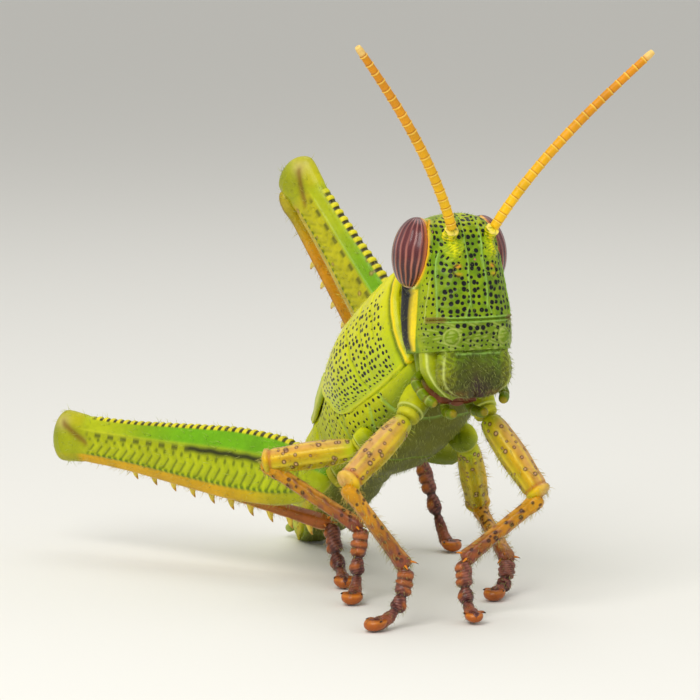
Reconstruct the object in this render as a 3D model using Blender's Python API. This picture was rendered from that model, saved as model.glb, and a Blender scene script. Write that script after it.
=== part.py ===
"""Grasshopper nymph, life size, in one still standing pose.

The animal faces -Y with its right side toward -X and the floor at z = 0.
All sizes below are in millimetres; MM turns them into metres.
Body pieces are lofts of one smooth body skin; the head is a loft of level
rings; legs, feelers and palps are tapered tubes cut back from the piece they
grow from, so neighbours sit a hair apart without overlapping.
"""
import bpy
import bmesh
import numpy as np

MM = 0.001
GAP = 0.06                      # space left between neighbouring pieces
CENTRE_SHIFT = (1.841, -9.254)  # moves the finished model over the origin

# ---- body axis: front ring of the pronotum, then pitch, heading and roll ----
FRONT_RING = np.array([0.0, 0.0, 15.4])
PITCH_FRONT, PITCH_REAR = 30.4, 36.3      # degrees head-up
HEADING_REAR = 10.0                       # abdomen swings to the left side
ROLL_FRONT, ROLL_REAR = 2.0, 8.0
BEND_START, BEND_LENGTH = 6.0, 10.0
BODY_END = 27.6

# distance behind the front ring, half width, top, bottom
BODY_SIZES = np.array([
    (0.0, 2.84, 3.55, 3.55), (1.5, 3.17, 3.85, 4.15), (4.0, 3.36, 3.86, 4.75),
    (7.0, 3.47, 3.74, 5.00), (9.5, 3.14, 3.36, 4.85), (11.5, 2.72, 3.08, 4.35),
    (13.0, 2.54, 2.90, 3.85), (15.0, 2.16, 2.38, 3.35), (19.0, 2.14, 2.32, 2.75),
    (23.0, 1.75, 1.92, 2.10),
    (26.0, 1.10, 1.20, 1.25), (27.6, 0.45, 0.50, 0.50)])
WAIST = -0.6                    # height of the widest line on the section
SHOULDER = 0.80                 # below 1 gives squarer shoulders
BELLY = 0.74
CREST = 0.14                    # low keel along the back

# ---- pronotum ----
PRONOTUM_TOP, PRONOTUM_LOBE = 12.9, 5.0   # length along the back, along the lobe
LOBE_FRONT, LOBE_ANGLE = -28.0, -18.0     # lower margin at the collar, at the lobe's rear
LOBE_SWEEP = 0.33
STERNUM_SPLIT, THORAX_SPLIT, THORAX_END = 2.9, 7.7, 13.0
ABDOMEN_CUTS = (13.0, 15.6, 18.3, 20.9, 23.5, 25.6)
WING_PAD_END, WING_PAD_ROUND, WING_PAD_THICK = 15.5, 0.4, 0.5
WING_PAD_PROUD, WING_PAD_HIGH = 0.10, 0.57   # above the skin on the thorax, on the abdomen
PAD_RECESS = WING_PAD_THICK - 0.02        # bed sunk in the back for the pads
PAD_SLOPE = 2.0                           # the bed runs out over this length of abdomen
CERCUS_AT = 26.2

# ---- head ----
HEAD_CENTRE = np.array([-0.42, -1.80, 19.05])
HEAD_PITCH, HEAD_ROLL = 8.3, -0.5
# height from the middle of the eyes, half width, reach forward, reach back
HEAD_SIZES = np.array([
    (-5.25, 2.58, 2.40, 1.35), (-4.4, 2.68, 2.50, 1.62), (-3.4, 2.60, 2.58, 1.90),
    (-2.0, 2.36, 2.60, 2.15), (-0.5, 2.14, 2.42, 2.25), (0.5, 2.00, 2.20, 2.20),
    (1.2, 1.72, 1.95, 2.00), (1.7, 1.25, 1.55, 1.60), (1.95, 0.62, 0.90, 0.90)])
FRONT_SQUARE, REAR_SQUARE = (0.72, 0.80), 0.28   # powers of the section, below 1 is boxier
EYE_CENTRE = np.array([2.08, -0.45, 0.0])
EYE_SIZE = np.array([1.05, 1.45, 1.87])
EYE_LEAN, EYE_TILT = 8.0, 8.0     # degrees: foot set back, top leaning inward
SCAPE_BASE = np.array([1.08, 1.65, 0.60])
# feeler tips from the scape: out, ahead, up; then how far the whip bows
FEELERS = {"right": (6.55, 4.0, 9.59, 0.50), "left": (8.34, 4.0, 9.17, 0.50)}

COLOURS = {
    "lime": ((0.30, 0.50, 0.01), 0.45), "green": ((0.13, 0.33, 0.01), 0.42),
    "olive": ((0.09, 0.15, 0.01), 0.55), "eye": ((0.12, 0.03, 0.03), 0.22),
    "yellow": ((0.62, 0.40, 0.02), 0.40),
    "orange": ((0.32, 0.12, 0.015), 0.42), "brown": ((0.13, 0.045, 0.015), 0.38),
}


def material(name, look):
    """The piece's own plain shader: colour, roughness, no metal."""
    colour, rough = COLOURS[look]
    mat = bpy.data.materials.new(name)
    mat.use_nodes = True
    shader = mat.node_tree.nodes["Principled BSDF"]
    shader.inputs["Base Color"].default_value = (*colour, 1.0)
    shader.inputs["Roughness"].default_value = rough
    shader.inputs["Metallic"].default_value = 0.0
    return mat


def basis(pitch, heading=0.0, roll=0.0):
    """Right, forward and up directions for angles in degrees."""
    p, h, r = np.radians([pitch, heading, roll])
    fwd = np.array([-np.sin(h) * np.cos(p), -np.cos(h) * np.cos(p), np.sin(p)])
    right = np.array([-np.cos(h), np.sin(h), 0.0])
    up = np.cross(right, fwd)
    return np.cos(r) * right - np.sin(r) * up, fwd, np.cos(r) * up + np.sin(r) * right


def smooth(t):
    t = np.clip(t, 0.0, 1.0)
    return t * t * (3.0 - 2.0 * t)


def axis_frame(back):
    """Point and directions on the body axis, back mm behind the front ring."""
    point = FRONT_RING.copy()
    steps = max(1, int(abs(back) / 0.1))
    for k in range(steps + 1):
        at = back * (k + 0.5) / steps
        s = smooth((at - BEND_START) / BEND_LENGTH)
        turn = basis(PITCH_FRONT + (PITCH_REAR - PITCH_FRONT) * s, HEADING_REAR * s,
                     ROLL_FRONT + (ROLL_REAR - ROLL_FRONT) * s)
        if k < steps:
            point = point - turn[1] * (back / steps)
    return point, turn


def sgnpow(v, power):
    return np.sign(v) * np.abs(v) ** power


def skin(back, angle, off=0.0):
    """Point on the body skin: angle 0 right side, 90 back, 180 left, 270 belly."""
    back_c = min(max(back, 0.0), BODY_END)
    wide, top, low = (np.interp(back_c, BODY_SIZES[:, 0], BODY_SIZES[:, k]) for k in (1, 2, 3))
    a = np.radians(angle)
    c, s = np.cos(a), np.sin(a)
    high = s >= 0.0
    x = (wide + off) * sgnpow(c, SHOULDER if high else BELLY)
    if high:
        z = WAIST + (top - WAIST + off) * sgnpow(s, 1.0)
        z += CREST * max(0.0, 1.0 - abs(angle - 90.0) / 10.0) - CREST
    else:
        z = WAIST + (low + WAIST + off) * sgnpow(s, 0.8)
    point, (right, fwd, up) = axis_frame(back)
    return point + right * x + up * z


def solid(name, verts, faces, colour, smooth_faces=True):
    """Closed mesh object from vertices in mm."""
    mesh = bpy.data.meshes.new(name)
    pts = [(v[0] * MM, v[1] * MM, v[2] * MM) for v in verts]
    mesh.from_pydata(pts, [], faces)
    bm = bmesh.new()
    bm.from_mesh(mesh)
    bmesh.ops.remove_doubles(bm, verts=bm.verts, dist=1e-6)
    bmesh.ops.dissolve_degenerate(bm, edges=bm.edges, dist=1e-7)
    bmesh.ops.recalc_face_normals(bm, faces=bm.faces)
    bm.to_mesh(mesh)
    bm.free()
    for poly in mesh.polygons:
        poly.use_smooth = smooth_faces
    obj = bpy.data.objects.new(name, mesh)
    obj.data.materials.append(material(name, colour))
    bpy.context.scene.collection.objects.link(obj)
    return obj


def loft(name, rings, colour, zipped=False):
    """Skin rings of equal length; ends closed by fans, or by strips across."""
    n = len(rings[0])
    verts = [p for ring in rings for p in ring]
    faces = []
    for k in range(len(rings) - 1):
        for j in range(n):
            i = (j + 1) % n
            faces.append((k * n + j, k * n + i, (k + 1) * n + i, (k + 1) * n + j))
    for k in (0, len(rings) - 1):
        if zipped:
            for j in range(n // 2 - 1):
                faces.append((k * n + j, k * n + j + 1, k * n + n - 2 - j, k * n + n - 1 - j))
            if n % 2:
                m = n // 2
                faces.append((k * n + m - 1, k * n + m, k * n + m + 1))
        else:
            verts.append(np.mean(rings[k], axis=0))
            for j in range(n):
                faces.append((k * n + j, k * n + (j + 1) % n, len(verts) - 1))
    return solid(name, verts, faces, colour)


def cut(obj, others, how="DIFFERENCE"):
    """Take the other meshes away from the object (or add them) and drop them."""
    for other in others:
        mod = obj.modifiers.new("cut", "BOOLEAN")
        mod.operation, mod.solver, mod.object = how, "EXACT", other
    graph = bpy.context.evaluated_depsgraph_get()
    mesh = bpy.data.meshes.new_from_object(obj.evaluated_get(graph))
    obj.modifiers.clear()
    while len(mesh.materials) > 1:
        mesh.materials.pop()
    obj.data = mesh
    bm = bmesh.new()
    bm.from_mesh(mesh)
    bmesh.ops.remove_doubles(bm, verts=bm.verts, dist=2e-6)
    bmesh.ops.triangulate(bm, faces=[f for f in bm.faces if len(f.verts) > 4])
    bm.to_mesh(mesh)
    bm.free()
    for other in others:
        bpy.data.objects.remove(other)
    return obj


def on_floor(obj):
    """Press whatever dips under the floor into a small flat at z = 0."""
    for v in obj.data.vertices:
        if v.co.z < 0.0:
            v.co.z = 0.0


def tube(name, path, radii, colour, sides=10, side=None, extra=0.0, ends=0.35):
    """Tapered tube along points; radii are (across, deep) pairs, ends rounded."""
    path = [np.array(p, float) for p in path]
    radii = [(r, r) if np.isscalar(r) else r for r in radii]
    first, last = path[0] - path[1], path[-1] - path[-2]
    first, last = first / np.linalg.norm(first), last / np.linalg.norm(last)
    tangents = [(path[min(k + 1, len(path) - 1)] - path[max(k - 1, 0)]) for k in range(len(path))]
    if ends:
        rs, re = min(radii[0]) * ends, min(radii[-1]) * ends
        path = [path[0]] + [path[0] - first * rs] + path[1:-1] + [path[-1] - last * re, path[-1]]
        radii = ([(radii[0][0] * 0.6, radii[0][1] * 0.6), radii[0]] + radii[1:-1]
                 + [radii[-1], (radii[-1][0] * 0.6, radii[-1][1] * 0.6)])
        tangents = [tangents[0]] + tangents + [tangents[-1]]
    path[0], path[-1] = path[0] + first * extra, path[-1] + last * extra
    rings = []
    hint = np.array(side if side is not None else (0.31, 0.23, 0.92), float)
    for point, tangent, (ra, rd) in zip(path, tangents, radii):
        t = tangent / np.linalg.norm(tangent)
        deep = hint - t * np.dot(hint, t)
        deep = deep / np.linalg.norm(deep)
        across = np.cross(t, deep)
        a = np.linspace(0.0, 2.0 * np.pi, sides, endpoint=False)
        rings.append([point + across * np.cos(q) * (ra + extra) + deep * np.sin(q) * (rd + extra)
                      for q in a])
    return loft(name, rings, colour)


# ------------------------------------------------------------------ body ----
def lower_margin(back):
    """Angle of the pronotum's lower edge, rising a little toward the rear."""
    return LOBE_FRONT + (LOBE_ANGLE - LOBE_FRONT) * min(max(back / PRONOTUM_LOBE, 0.0), 1.0)


def margin_angle(back, slack=0.0):
    """Angle of the pronotum edge on the section at this distance."""
    v = np.clip((back - slack - PRONOTUM_LOBE) / (PRONOTUM_TOP - PRONOTUM_LOBE), 0.0, 1.0)
    low = lower_margin(back - slack) - np.degrees(slack / 2.6)
    return low + (90.0 - low) * v ** (1.0 / LOBE_SWEEP)


def pronotum():
    """Saddle over the front of the body: rings slant back toward the crest."""
    rings = []
    for s in (0.0, 0.05, 0.2, 0.4, 0.6, 0.8, 0.95, 1.0):
        ring = []
        for v in np.linspace(-1.0, 1.0, 23):
            up = (1.0 - abs(v)) ** 1.7
            low = lower_margin(s * PRONOTUM_LOBE)
            angle = low + (90.0 - low) * up
            angle = angle if v <= 0.0 else 180.0 - angle
            length = PRONOTUM_LOBE + (PRONOTUM_TOP - PRONOTUM_LOBE) * up ** LOBE_SWEEP
            ring.append(skin(s * length, angle, -0.18 if s in (0.0, 1.0) else 0.0))
        rings.append(ring)
    return loft("pronotum", rings, "lime", zipped=True)


def lower_block(name, start, stop, colour, steps, grow=0.0, recess=0.0):
    """Piece of the thorax under the pronotum, its section closed on top by a chord."""
    rings = []
    for back in np.linspace(start - grow, stop + grow, steps):
        edge = margin_angle(back, 1.4 * GAP)
        ring = []
        for q in np.linspace(0.0, 1.0, 21):
            angle = edge + (-180.0 - 2.0 * edge) * q
            off = grow - recess * (smooth((angle + 5.0) / 25.0) + smooth((-175.0 - angle) / 25.0))
            off -= (0.10 if back > stop + grow - 0.01 and stop == THORAX_END else 0.0)
            ring.append(skin(back, angle if angle > -180.0 else angle + 360.0, off))
        rings.append(ring)
    return loft(name, rings, colour, zipped=True)


def full_block(name, start, stop, colour, steps, sides=18, grow=0.0):
    """Complete ring of the abdomen with softened ends."""
    rings = []
    stations = np.linspace(start + GAP * 0.5 - grow, stop - GAP * 0.5 + grow, steps)
    for k, back in enumerate(stations):
        off = (-0.10 if k in (0, steps - 1) else 0.0) + grow
        ring = []
        for angle in np.arange(sides) * 360.0 / sides + 90.0:
            dorsal = smooth((np.sin(np.radians(angle)) + 0.15) / 0.4)
            ring.append(skin(back, angle, off - PAD_RECESS * pad_bed(back) * dorsal))
        rings.append(ring)
    return loft(name, rings, colour)


def neck():
    """Short collar between head and pronotum, cut back from the head."""
    rings = []
    for back, off in ((-1.0, -0.75), (-0.6, -0.55), (-GAP, -0.55)):
        rings.append([skin(back, -90.0 + 30.0 * j, off) for j in range(12)])
    return cut(loft("neck", rings, "green"),
               [head_solid("seat", GAP), slab("seat", grown(CHIN, GAP), "green")])


def pad_bed(back):
    """1 where the bed of the wing pads is full, falling to 0 along the abdomen."""
    return min(max(1.0 - (back - THORAX_END) / PAD_SLOPE, 0.0), 1.0)


def wing_pad(word, hand):
    """Small flap lying on the side of the back, rounded at its free end."""
    rings = []
    for v in np.linspace(0.0, 1.0, 5):
        angle = 34.0 + 50.0 * v
        up = (angle - LOBE_ANGLE) / (90.0 - LOBE_ANGLE)
        start = PRONOTUM_LOBE + (PRONOTUM_TOP - PRONOTUM_LOBE) * up ** LOBE_SWEEP + 1.6 * GAP
        stop = WING_PAD_END - WING_PAD_ROUND * (2.0 * v - 1.0) ** 4
        angle = angle if hand > 0 else 180.0 - angle
        backs = np.array([start, max(THORAX_END, start + 0.1), THORAX_END + PAD_SLOPE, stop])
        proud = [WING_PAD_HIGH + (WING_PAD_PROUD - WING_PAD_HIGH) * pad_bed(b) for b in backs]
        outer = [skin(b, angle, p - (0.12 if k == 3 or v in (0.0, 1.0) else 0.0))
                 for k, (b, p) in enumerate(zip(backs, proud))]
        inner = [skin(b, angle, p - WING_PAD_THICK) for b, p in zip(backs, proud)]
        rings.append(outer + inner[::-1])
    return loft("wing_pad_" + word, rings, "lime", zipped=True)


def cercus(word, hand):
    """Short cone beside the tip of the abdomen."""
    point, (right, fwd, up) = axis_frame(CERCUS_AT)
    root = point + right * hand * 0.55 + up * 0.25
    tip = root + right * hand * 0.50 - fwd * 1.15 + up * 0.20
    obj = tube("cercus_" + word, along([root, tip], (0.0, 0.5, 1.0)), [0.30, 0.28, 0.25],
               "green", 8)
    return cut(obj, [full_block("seat", ABDOMEN_CUTS[-1], BODY_END, "green", 4, grow=GAP)])


# ------------------------------------------------------------------ head ----
def head_point(side, ahead, height):
    """Head measures (right, forward, up from the middle of the eyes) to space."""
    right, fwd, up = basis(HEAD_PITCH, 0.0, HEAD_ROLL)
    return HEAD_CENTRE + right * side + fwd * ahead + up * height


def head_level(height, grow=0.0, sides=24):
    wide, front, rear = (np.interp(height, HEAD_SIZES[:, 0], HEAD_SIZES[:, k]) + grow
                         for k in (1, 2, 3))
    ring = []
    for a in np.radians(np.linspace(0.0, 360.0, sides, endpoint=False)):
        c, s = np.cos(a), np.sin(a)
        reach, across, along = (front, FRONT_SQUARE[0], FRONT_SQUARE[1]) if s > 0.0 else \
            (rear, REAR_SQUARE, REAR_SQUARE)
        ring.append(head_point(wide * sgnpow(c, across), reach * sgnpow(s, along), height))
    return ring


def head_solid(name="head", grow=0.0):
    low, high = HEAD_SIZES[0, 0], HEAD_SIZES[-1, 0]
    levels = [low, -4.85, -4.4, -3.4, -2.4, -1.5, -0.5, 0.4, 1.0, 1.4, 1.7, 1.86, high]
    rings = [head_level(h, grow) for h in levels]
    if grow:
        shift = head_point(0.0, 0.0, grow) - HEAD_CENTRE
        rings = [[p - shift for p in rings[0]]] + rings[1:-1] + [[p + shift for p in rings[-1]]]
    return loft(name, rings, "green")


def ball(name, centre, size, axes, colour, rings=8, sides=14):
    """Ellipsoid with its poles along the third axis."""
    out = []
    for k in range(1, rings):
        b = np.pi * k / rings - np.pi / 2.0
        out.append([centre + axes[0] * size[0] * np.cos(b) * np.cos(a)
                    + axes[1] * size[1] * np.cos(b) * np.sin(a) + axes[2] * size[2] * np.sin(b)
                    for a in np.linspace(0.0, 2.0 * np.pi, sides, endpoint=False)])
    return loft(name, out, colour)


def eye(name, hand):
    right, fwd, up = basis(HEAD_PITCH, 0.0, HEAD_ROLL)
    lean = np.radians(EYE_LEAN)
    tall = up * np.cos(lean) + fwd * np.sin(lean)
    deep = fwd * np.cos(lean) - up * np.sin(lean)
    tilt = np.radians(EYE_TILT) * hand
    out = right * np.cos(tilt) + tall * np.sin(tilt)
    tall = tall * np.cos(tilt) - right * np.sin(tilt)
    centre = head_point(hand * EYE_CENTRE[0], EYE_CENTRE[1], EYE_CENTRE[2])
    obj = ball(name, centre, EYE_SIZE, (out, deep, tall), "eye")
    return cut(obj, [head_solid("eye_seat", GAP * 0.7)])


def slab(name, levels, colour, sides=12, power=0.6):
    """Mouth piece from levels of (height, left, right, back, front)."""
    rings = []
    for height, left, right, back, front in levels:
        mid_x, half_x = 0.5 * (left + right), 0.5 * (right - left)
        mid_y, half_y = 0.5 * (back + front), 0.5 * (front - back)
        rings.append([head_point(mid_x + half_x * sgnpow(np.cos(a), power),
                                 mid_y + half_y * sgnpow(np.sin(a), power), height)
                      for a in np.linspace(0.0, 2.0 * np.pi, sides, endpoint=False)])
    return loft(name, rings, colour)


LABRUM = [(-5.31, -2.15, 2.15, 1.16, 2.34), (-6.0, -2.25, 2.25, 1.16, 2.38),
          (-7.1, -2.02, 2.02, 1.16, 2.18), (-7.75, -1.10, 1.10, 1.18, 1.86)]
JAW = [(-5.31, 0.04, 2.50, -0.10, 1.10), (-6.0, 0.04, 2.46, -0.10, 1.10),
       (-6.9, 0.04, 2.05, -0.10, 1.10), (-7.55, 0.10, 1.40, 0.05, 0.95)]
CHIN = [(-5.31, -2.25, 2.25, -1.22, -0.16), (-6.2, -2.15, 2.15, -1.15, -0.16),
        (-7.2, -1.75, 1.75, -0.95, -0.16), (-7.9, -1.1, 1.1, -0.75, -0.25)]


def grown(levels, g):
    """Same levels enlarged all round by g."""
    out = [(h, a - g, b + g, c - g, d + g) for h, a, b, c, d in levels]
    out[0] = (out[0][0] + g,) + out[0][1:]
    out[-1] = (out[-1][0] - g,) + out[-1][1:]
    return out


def mouth():
    slab("labrum", LABRUM, "green")
    slab("mandible_right", JAW, "green")
    slab("mandible_left", [(h, -b, -a, c, d) for h, a, b, c, d in JAW], "green")
    slab("labium", CHIN, "green")
    for hand, word in ((1, "right"), (-1, "left")):
        jaw = [(h, a, b, c, d) if hand > 0 else (h, -b, -a, c, d) for h, a, b, c, d in JAW]
        path = [(1.75, -0.6, -6.2), (2.45, -0.35, -6.75), (2.35, 0.35, -7.5), (1.95, 0.95, -8.0)]
        palp = tube("maxillary_palp_" + word,
                    [head_point(hand * x, y, z) for x, y, z in path],
                    [0.27, 0.30, 0.29, 0.27], "green", 7)
        cut(palp, [slab("seat", grown(CHIN, GAP), "green"),
                   slab("seat", grown(jaw, GAP), "green")])
        path = [(0.66, -0.53, -7.1), (0.72, -0.53, -8.15), (0.92, 0.30, -8.5), (0.9, 0.9, -8.5)]
        palp = tube("labial_palp_" + word,
                    [head_point(hand * x, y, z) for x, y, z in path],
                    [0.25, 0.27, 0.26, 0.25], "green", 7)
        cut(palp, [slab("seat", grown(CHIN, GAP), "green")])


def feeler(word, hand):
    """Scape, then the long whip bowing outward toward the tip."""
    base = np.array([hand * SCAPE_BASE[0], SCAPE_BASE[1], SCAPE_BASE[2]])
    out, ahead, high, bend = FEELERS[word]
    reach = np.array([hand * out, ahead, high])
    rise = np.array([hand * 0.12, 0.74, 0.42])
    joint = base + rise
    scape = tube("scape_" + word, [head_point(*(base - rise * 0.5)), head_point(*joint)],
                 [0.42, 0.40], "yellow", 10)
    cut(scape, [head_solid("seat", GAP)])
    path, radii = [], []
    start = joint
    for t in np.linspace(0.0, 1.0, 9):
        bow = np.array([hand * (-0.85), 0.10, 0.50]) * bend * np.sin(np.pi * t ** 0.85)
        path.append(head_point(*(start + (reach - rise) * t + bow)))
        radii.append(0.33 - 0.07 * t)
    whip = tube("feeler_" + word, path, radii, "orange", 8)
    cut(whip, [tube("seat", [head_point(*(base - rise * 0.5)), head_point(*joint)],
                    [0.42, 0.40], "yellow", 10, None, GAP)])


# ------------------------------------------------------------------ legs ----
# joints of each leg: inside the body, trochanter, knee, ankle, then the foot
SPINES, SPINE_LONG, SPINE_WIDE, SPINE_SPLAY = 8, 0.62, 0.15, 28.0
CLAW_LONG, CLAW_WIDE = 0.55, 0.14
LEGS = {
    "fore_right": [(-1.5, -0.6, 11.9), (-3.0, -1.45, 10.25), (-7.3, -3.1, 7.3),
                   (-4.5, -4.65, 3.0), (-4.95, -4.95, 1.7), (-5.4, -5.15, 0.95),
                   (-6.5, -5.45, 0.42), (-7.2, -5.6, 0.42)],
    "fore_left": [(1.3, -0.6, 11.8), (1.55, -1.95, 10.2), (3.16, -5.0, 6.25),
                  (-0.7, -3.6, 2.95), (-0.85, -4.15, 1.6), (-0.95, -4.6, 0.85),
                  (-1.2, -5.7, 0.42), (-1.35, -6.4, 0.42)],
    "middle_right": [(-2.4, 3.4, 8.8), (-3.2, 3.9, 8.0), (-7.5, 6.9, 7.15),
                     (-3.3, 3.2, 3.8), (-3.7, 2.9, 2.2), (-3.9, 2.6, 1.2),
                     (-4.5, 1.8, 0.42), (-4.9, 1.3, 0.42)],
    "middle_left": [(2.4, 3.05, 8.7), (3.2, 3.5, 7.9), (5.16, 6.0, 4.0),
                    (4.2, 0.6, 1.9), (3.9, 0.35, 1.1), (3.6, 0.1, 0.6),
                    (2.9, -0.45, 0.4), (2.5, -0.8, 0.4)],
    "hind_right": [(-1.6, 6.4, 7.2), (-3.1, 7.5, 5.8), (-12.5, 24.8, 6.7),
                   (-2.0, 9.8, 2.9), (-2.25, 8.7, 1.5), (-2.4, 7.9, 0.8),
                   (-2.9, 6.3, 0.42), (-3.2, 5.5, 0.42)],
    "hind_left": [(1.8, 6.6, 7.6), (4.95, 7.4, 6.9), (-0.4, 18.8, 22.3),
                  (6.9, 16.5, 5.0), (7.1, 15.6, 3.1), (7.2, 15.1, 2.1),
                  (7.45, 14.0, 0.44), (7.55, 13.2, 0.42)],
}
FEMUR_DEEP = {"hind_right": (0.1, 0.1, 1.0), "hind_left": (0.35, -0.80, 0.45)}
SHIN_START = {"hind_right": (-12.0, 23.95, 6.3), "hind_left": (-0.75, 19.0, 20.7)}
# share of the femur, half depth, half thickness
THIGH = [(0.0, 0.58, 0.45), (0.05, 1.05, 0.62), (0.11, 1.56, 0.74), (0.20, 1.90, 0.78),
         (0.32, 1.96, 0.78), (0.45, 1.80, 0.76), (0.58, 1.58, 0.68), (0.72, 1.36, 0.60),
         (0.83, 1.28, 0.56), (0.90, 1.38, 0.60), (0.95, 1.46, 0.64), (1.0, 1.18, 0.52)]
SLIM_FEMUR = [(0.0, 0.48), (0.2, 0.66), (0.5, 0.74), (0.8, 0.66), (0.93, 0.64), (1.0, 0.56)]
SLIM_TIBIA = [(0.0, 0.42), (0.12, 0.44), (0.5, 0.38), (0.85, 0.40), (1.0, 0.42)]
FOOT = [(0.0, 0.34), (0.12, 0.42), (0.28, 0.42), (0.36, 0.30), (0.45, 0.38), (0.56, 0.29),
        (0.74, 0.37), (0.83, 0.32), (0.91, 0.50), (1.0, 0.34)]


def along(points, shares):
    """Points at the given shares of the length of a bent line."""
    pts = np.array(points, float)
    step = np.linalg.norm(np.diff(pts, axis=0), axis=1)
    at = np.concatenate(([0.0], np.cumsum(step))) / step.sum()
    return [np.array([np.interp(s, at, pts[:, k]) for k in range(3)]) for s in shares]


def body_seat(leg):
    """The parts of the body a coxa is cut back from."""
    if leg.startswith("fore"):
        return [lower_block("seat", 0.1, STERNUM_SPLIT, "olive", 4, GAP)]
    if leg.startswith("middle"):
        return [lower_block("seat", STERNUM_SPLIT, THORAX_SPLIT, "olive", 6, GAP)]
    return [lower_block("seat", THORAX_SPLIT, THORAX_END, "olive", 7, GAP, PAD_RECESS),
            lower_block("seat", STERNUM_SPLIT, THORAX_SPLIT, "olive", 6, GAP)]


def femur(leg, name, grow=0.0):
    joints = LEGS[leg]
    if leg.startswith("hind"):
        path = along(joints[1:3], [t[0] for t in THIGH])
        return tube(name, path, [(t[2], t[1]) for t in THIGH], "lime", 10,
                    FEMUR_DEEP[leg], grow)
    path = along(joints[1:3], [t[0] for t in SLIM_FEMUR])
    return tube(name, path, [t[1] for t in SLIM_FEMUR], "yellow", 8, None, grow)


def tibia(leg, name, grow=0.0):
    start = SHIN_START.get(leg, LEGS[leg][2])
    path = along([start, LEGS[leg][3]], [t[0] for t in SLIM_TIBIA])
    return tube(name, path, [t[1] for t in SLIM_TIBIA], "orange", 8, None, grow)


def coxa(leg, name, grow=0.0):
    joints = LEGS[leg]
    wide = 0.95 if leg.startswith("hind") else 0.78
    path = along(joints[0:2], (0.0, 0.5, 0.85, 1.0))
    return tube(name, path, [wide, wide, wide * 0.85, 0.56], "green", 10, None, grow)


def cones(name, roots, tips, wide, colour):
    """Four-sided spikes from roots to tips, kept as one mesh."""
    verts, faces = [], []
    for root, tip in zip(roots, tips):
        run = (tip - root) / np.linalg.norm(tip - root)
        side = np.cross(run, (0.3, 0.9, 0.2))
        side = side / np.linalg.norm(side)
        other = np.cross(run, side)
        n = len(verts)
        verts += [root + side * wide, root + other * wide, root - side * wide,
                  root - other * wide, tip]
        faces += [(n, n + 1, n + 4), (n + 1, n + 2, n + 4), (n + 2, n + 3, n + 4),
                  (n + 3, n, n + 4), (n + 3, n + 2, n + 1, n)]
    return solid(name, verts, faces, colour)


def shin_spines(leg):
    """Two rows of spines on the side of the hind tibia away from the femur."""
    start, ankle = np.array(SHIN_START[leg]), np.array(LEGS[leg][3])
    run = (ankle - start) / np.linalg.norm(ankle - start)
    hip = np.array(LEGS[leg][1])
    away = start + run * np.dot(hip - start, run) - hip
    away = away - run * np.dot(away, run)
    away = away / np.linalg.norm(away)
    out = np.cross(run, away)
    roots, tips = [], []
    for k in range(SPINES):
        at = start + (ankle - start) * (0.26 + 0.66 * k / (SPINES - 1))
        for hand in (1, -1):
            splay = np.radians(hand * SPINE_SPLAY)
            face = away * np.cos(splay) + out * np.sin(splay)
            roots.append(at + face * 0.22)
            tips.append(at + face * (0.38 + SPINE_LONG) + run * 0.30)
    return cones("spines", roots, tips, SPINE_WIDE, "orange")


def claws(leg):
    """Pair of claws curving out beside the pad."""
    pad, tip = np.array(LEGS[leg][6]), np.array(LEGS[leg][7])
    run = (tip - pad) / np.linalg.norm(tip - pad)
    out = np.cross(run, (0.0, 0.0, 1.0))
    out = out / np.linalg.norm(out)
    roots = [pad + out * h * 0.20 + np.array((0.0, 0.0, 0.14)) for h in (1, -1)]
    tips = [r + out * h * 0.42 + run * CLAW_LONG + np.array((0.0, 0.0, 0.10))
            for r, h in zip(roots, (1, -1))]
    return cones("claws", roots, tips, CLAW_WIDE, "brown")


def leg_parts(leg):
    cut(coxa(leg, leg + "_coxa"), body_seat(leg))
    cut(femur(leg, leg + "_femur"), [coxa(leg, "seat", GAP)])
    shin = cut(tibia(leg, leg + "_tibia"), [femur(leg, "seat", GAP)])
    if leg.startswith("hind"):
        cut(shin, [shin_spines(leg)], "UNION")
    joints = LEGS[leg]
    foot = tube(leg + "_tarsus", along(joints[3:8], [t[0] for t in FOOT]),
                [t[1] for t in FOOT], "brown", 6)
    cut(foot, [tibia(leg, "seat", GAP)])
    cut(foot, [claws(leg)], "UNION")
    on_floor(foot)


def main():
    for obj in list(bpy.data.objects):
        bpy.data.objects.remove(obj)
    pronotum()
    lower_block("prosternum", 0.1, STERNUM_SPLIT, "olive", 4)
    lower_block("mesothorax", STERNUM_SPLIT + GAP, THORAX_SPLIT, "green", 6)
    lower_block("metathorax", THORAX_SPLIT + GAP, THORAX_END, "green", 7, 0.0, PAD_RECESS)
    for k in range(len(ABDOMEN_CUTS) - 1):
        full_block("abdomen_%d" % (k + 1), ABDOMEN_CUTS[k], ABDOMEN_CUTS[k + 1], "green", 4)
    on_floor(full_block("abdomen_tip", ABDOMEN_CUTS[-1], BODY_END, "green", 4))
    head_solid()
    neck()
    mouth()
    for hand, word in ((1, "right"), (-1, "left")):
        eye("eye_" + word, hand)
        wing_pad(word, hand)
        cercus(word, hand)
        feeler(word, hand)
    for leg in LEGS:
        leg_parts(leg)
    for obj in bpy.data.objects:
        for v in obj.data.vertices:
            v.co.x += CENTRE_SHIFT[0] * MM
            v.co.y += CENTRE_SHIFT[1] * MM


main()
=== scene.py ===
# %% [markdown]
# # A green grasshopper nymph, life size
#
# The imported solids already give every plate, leg and feeler its true place and size. This file
# dresses them: each solid is replaced by a fine surface of the same proportions, with the pits,
# seams, keels, beads, stripes and hairs of the living animal.
#
# Everything is measured in millimetres in the solids' own frame. The animal faces -Y, its right
# side is toward -X, and the floor is z = 0.

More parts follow.
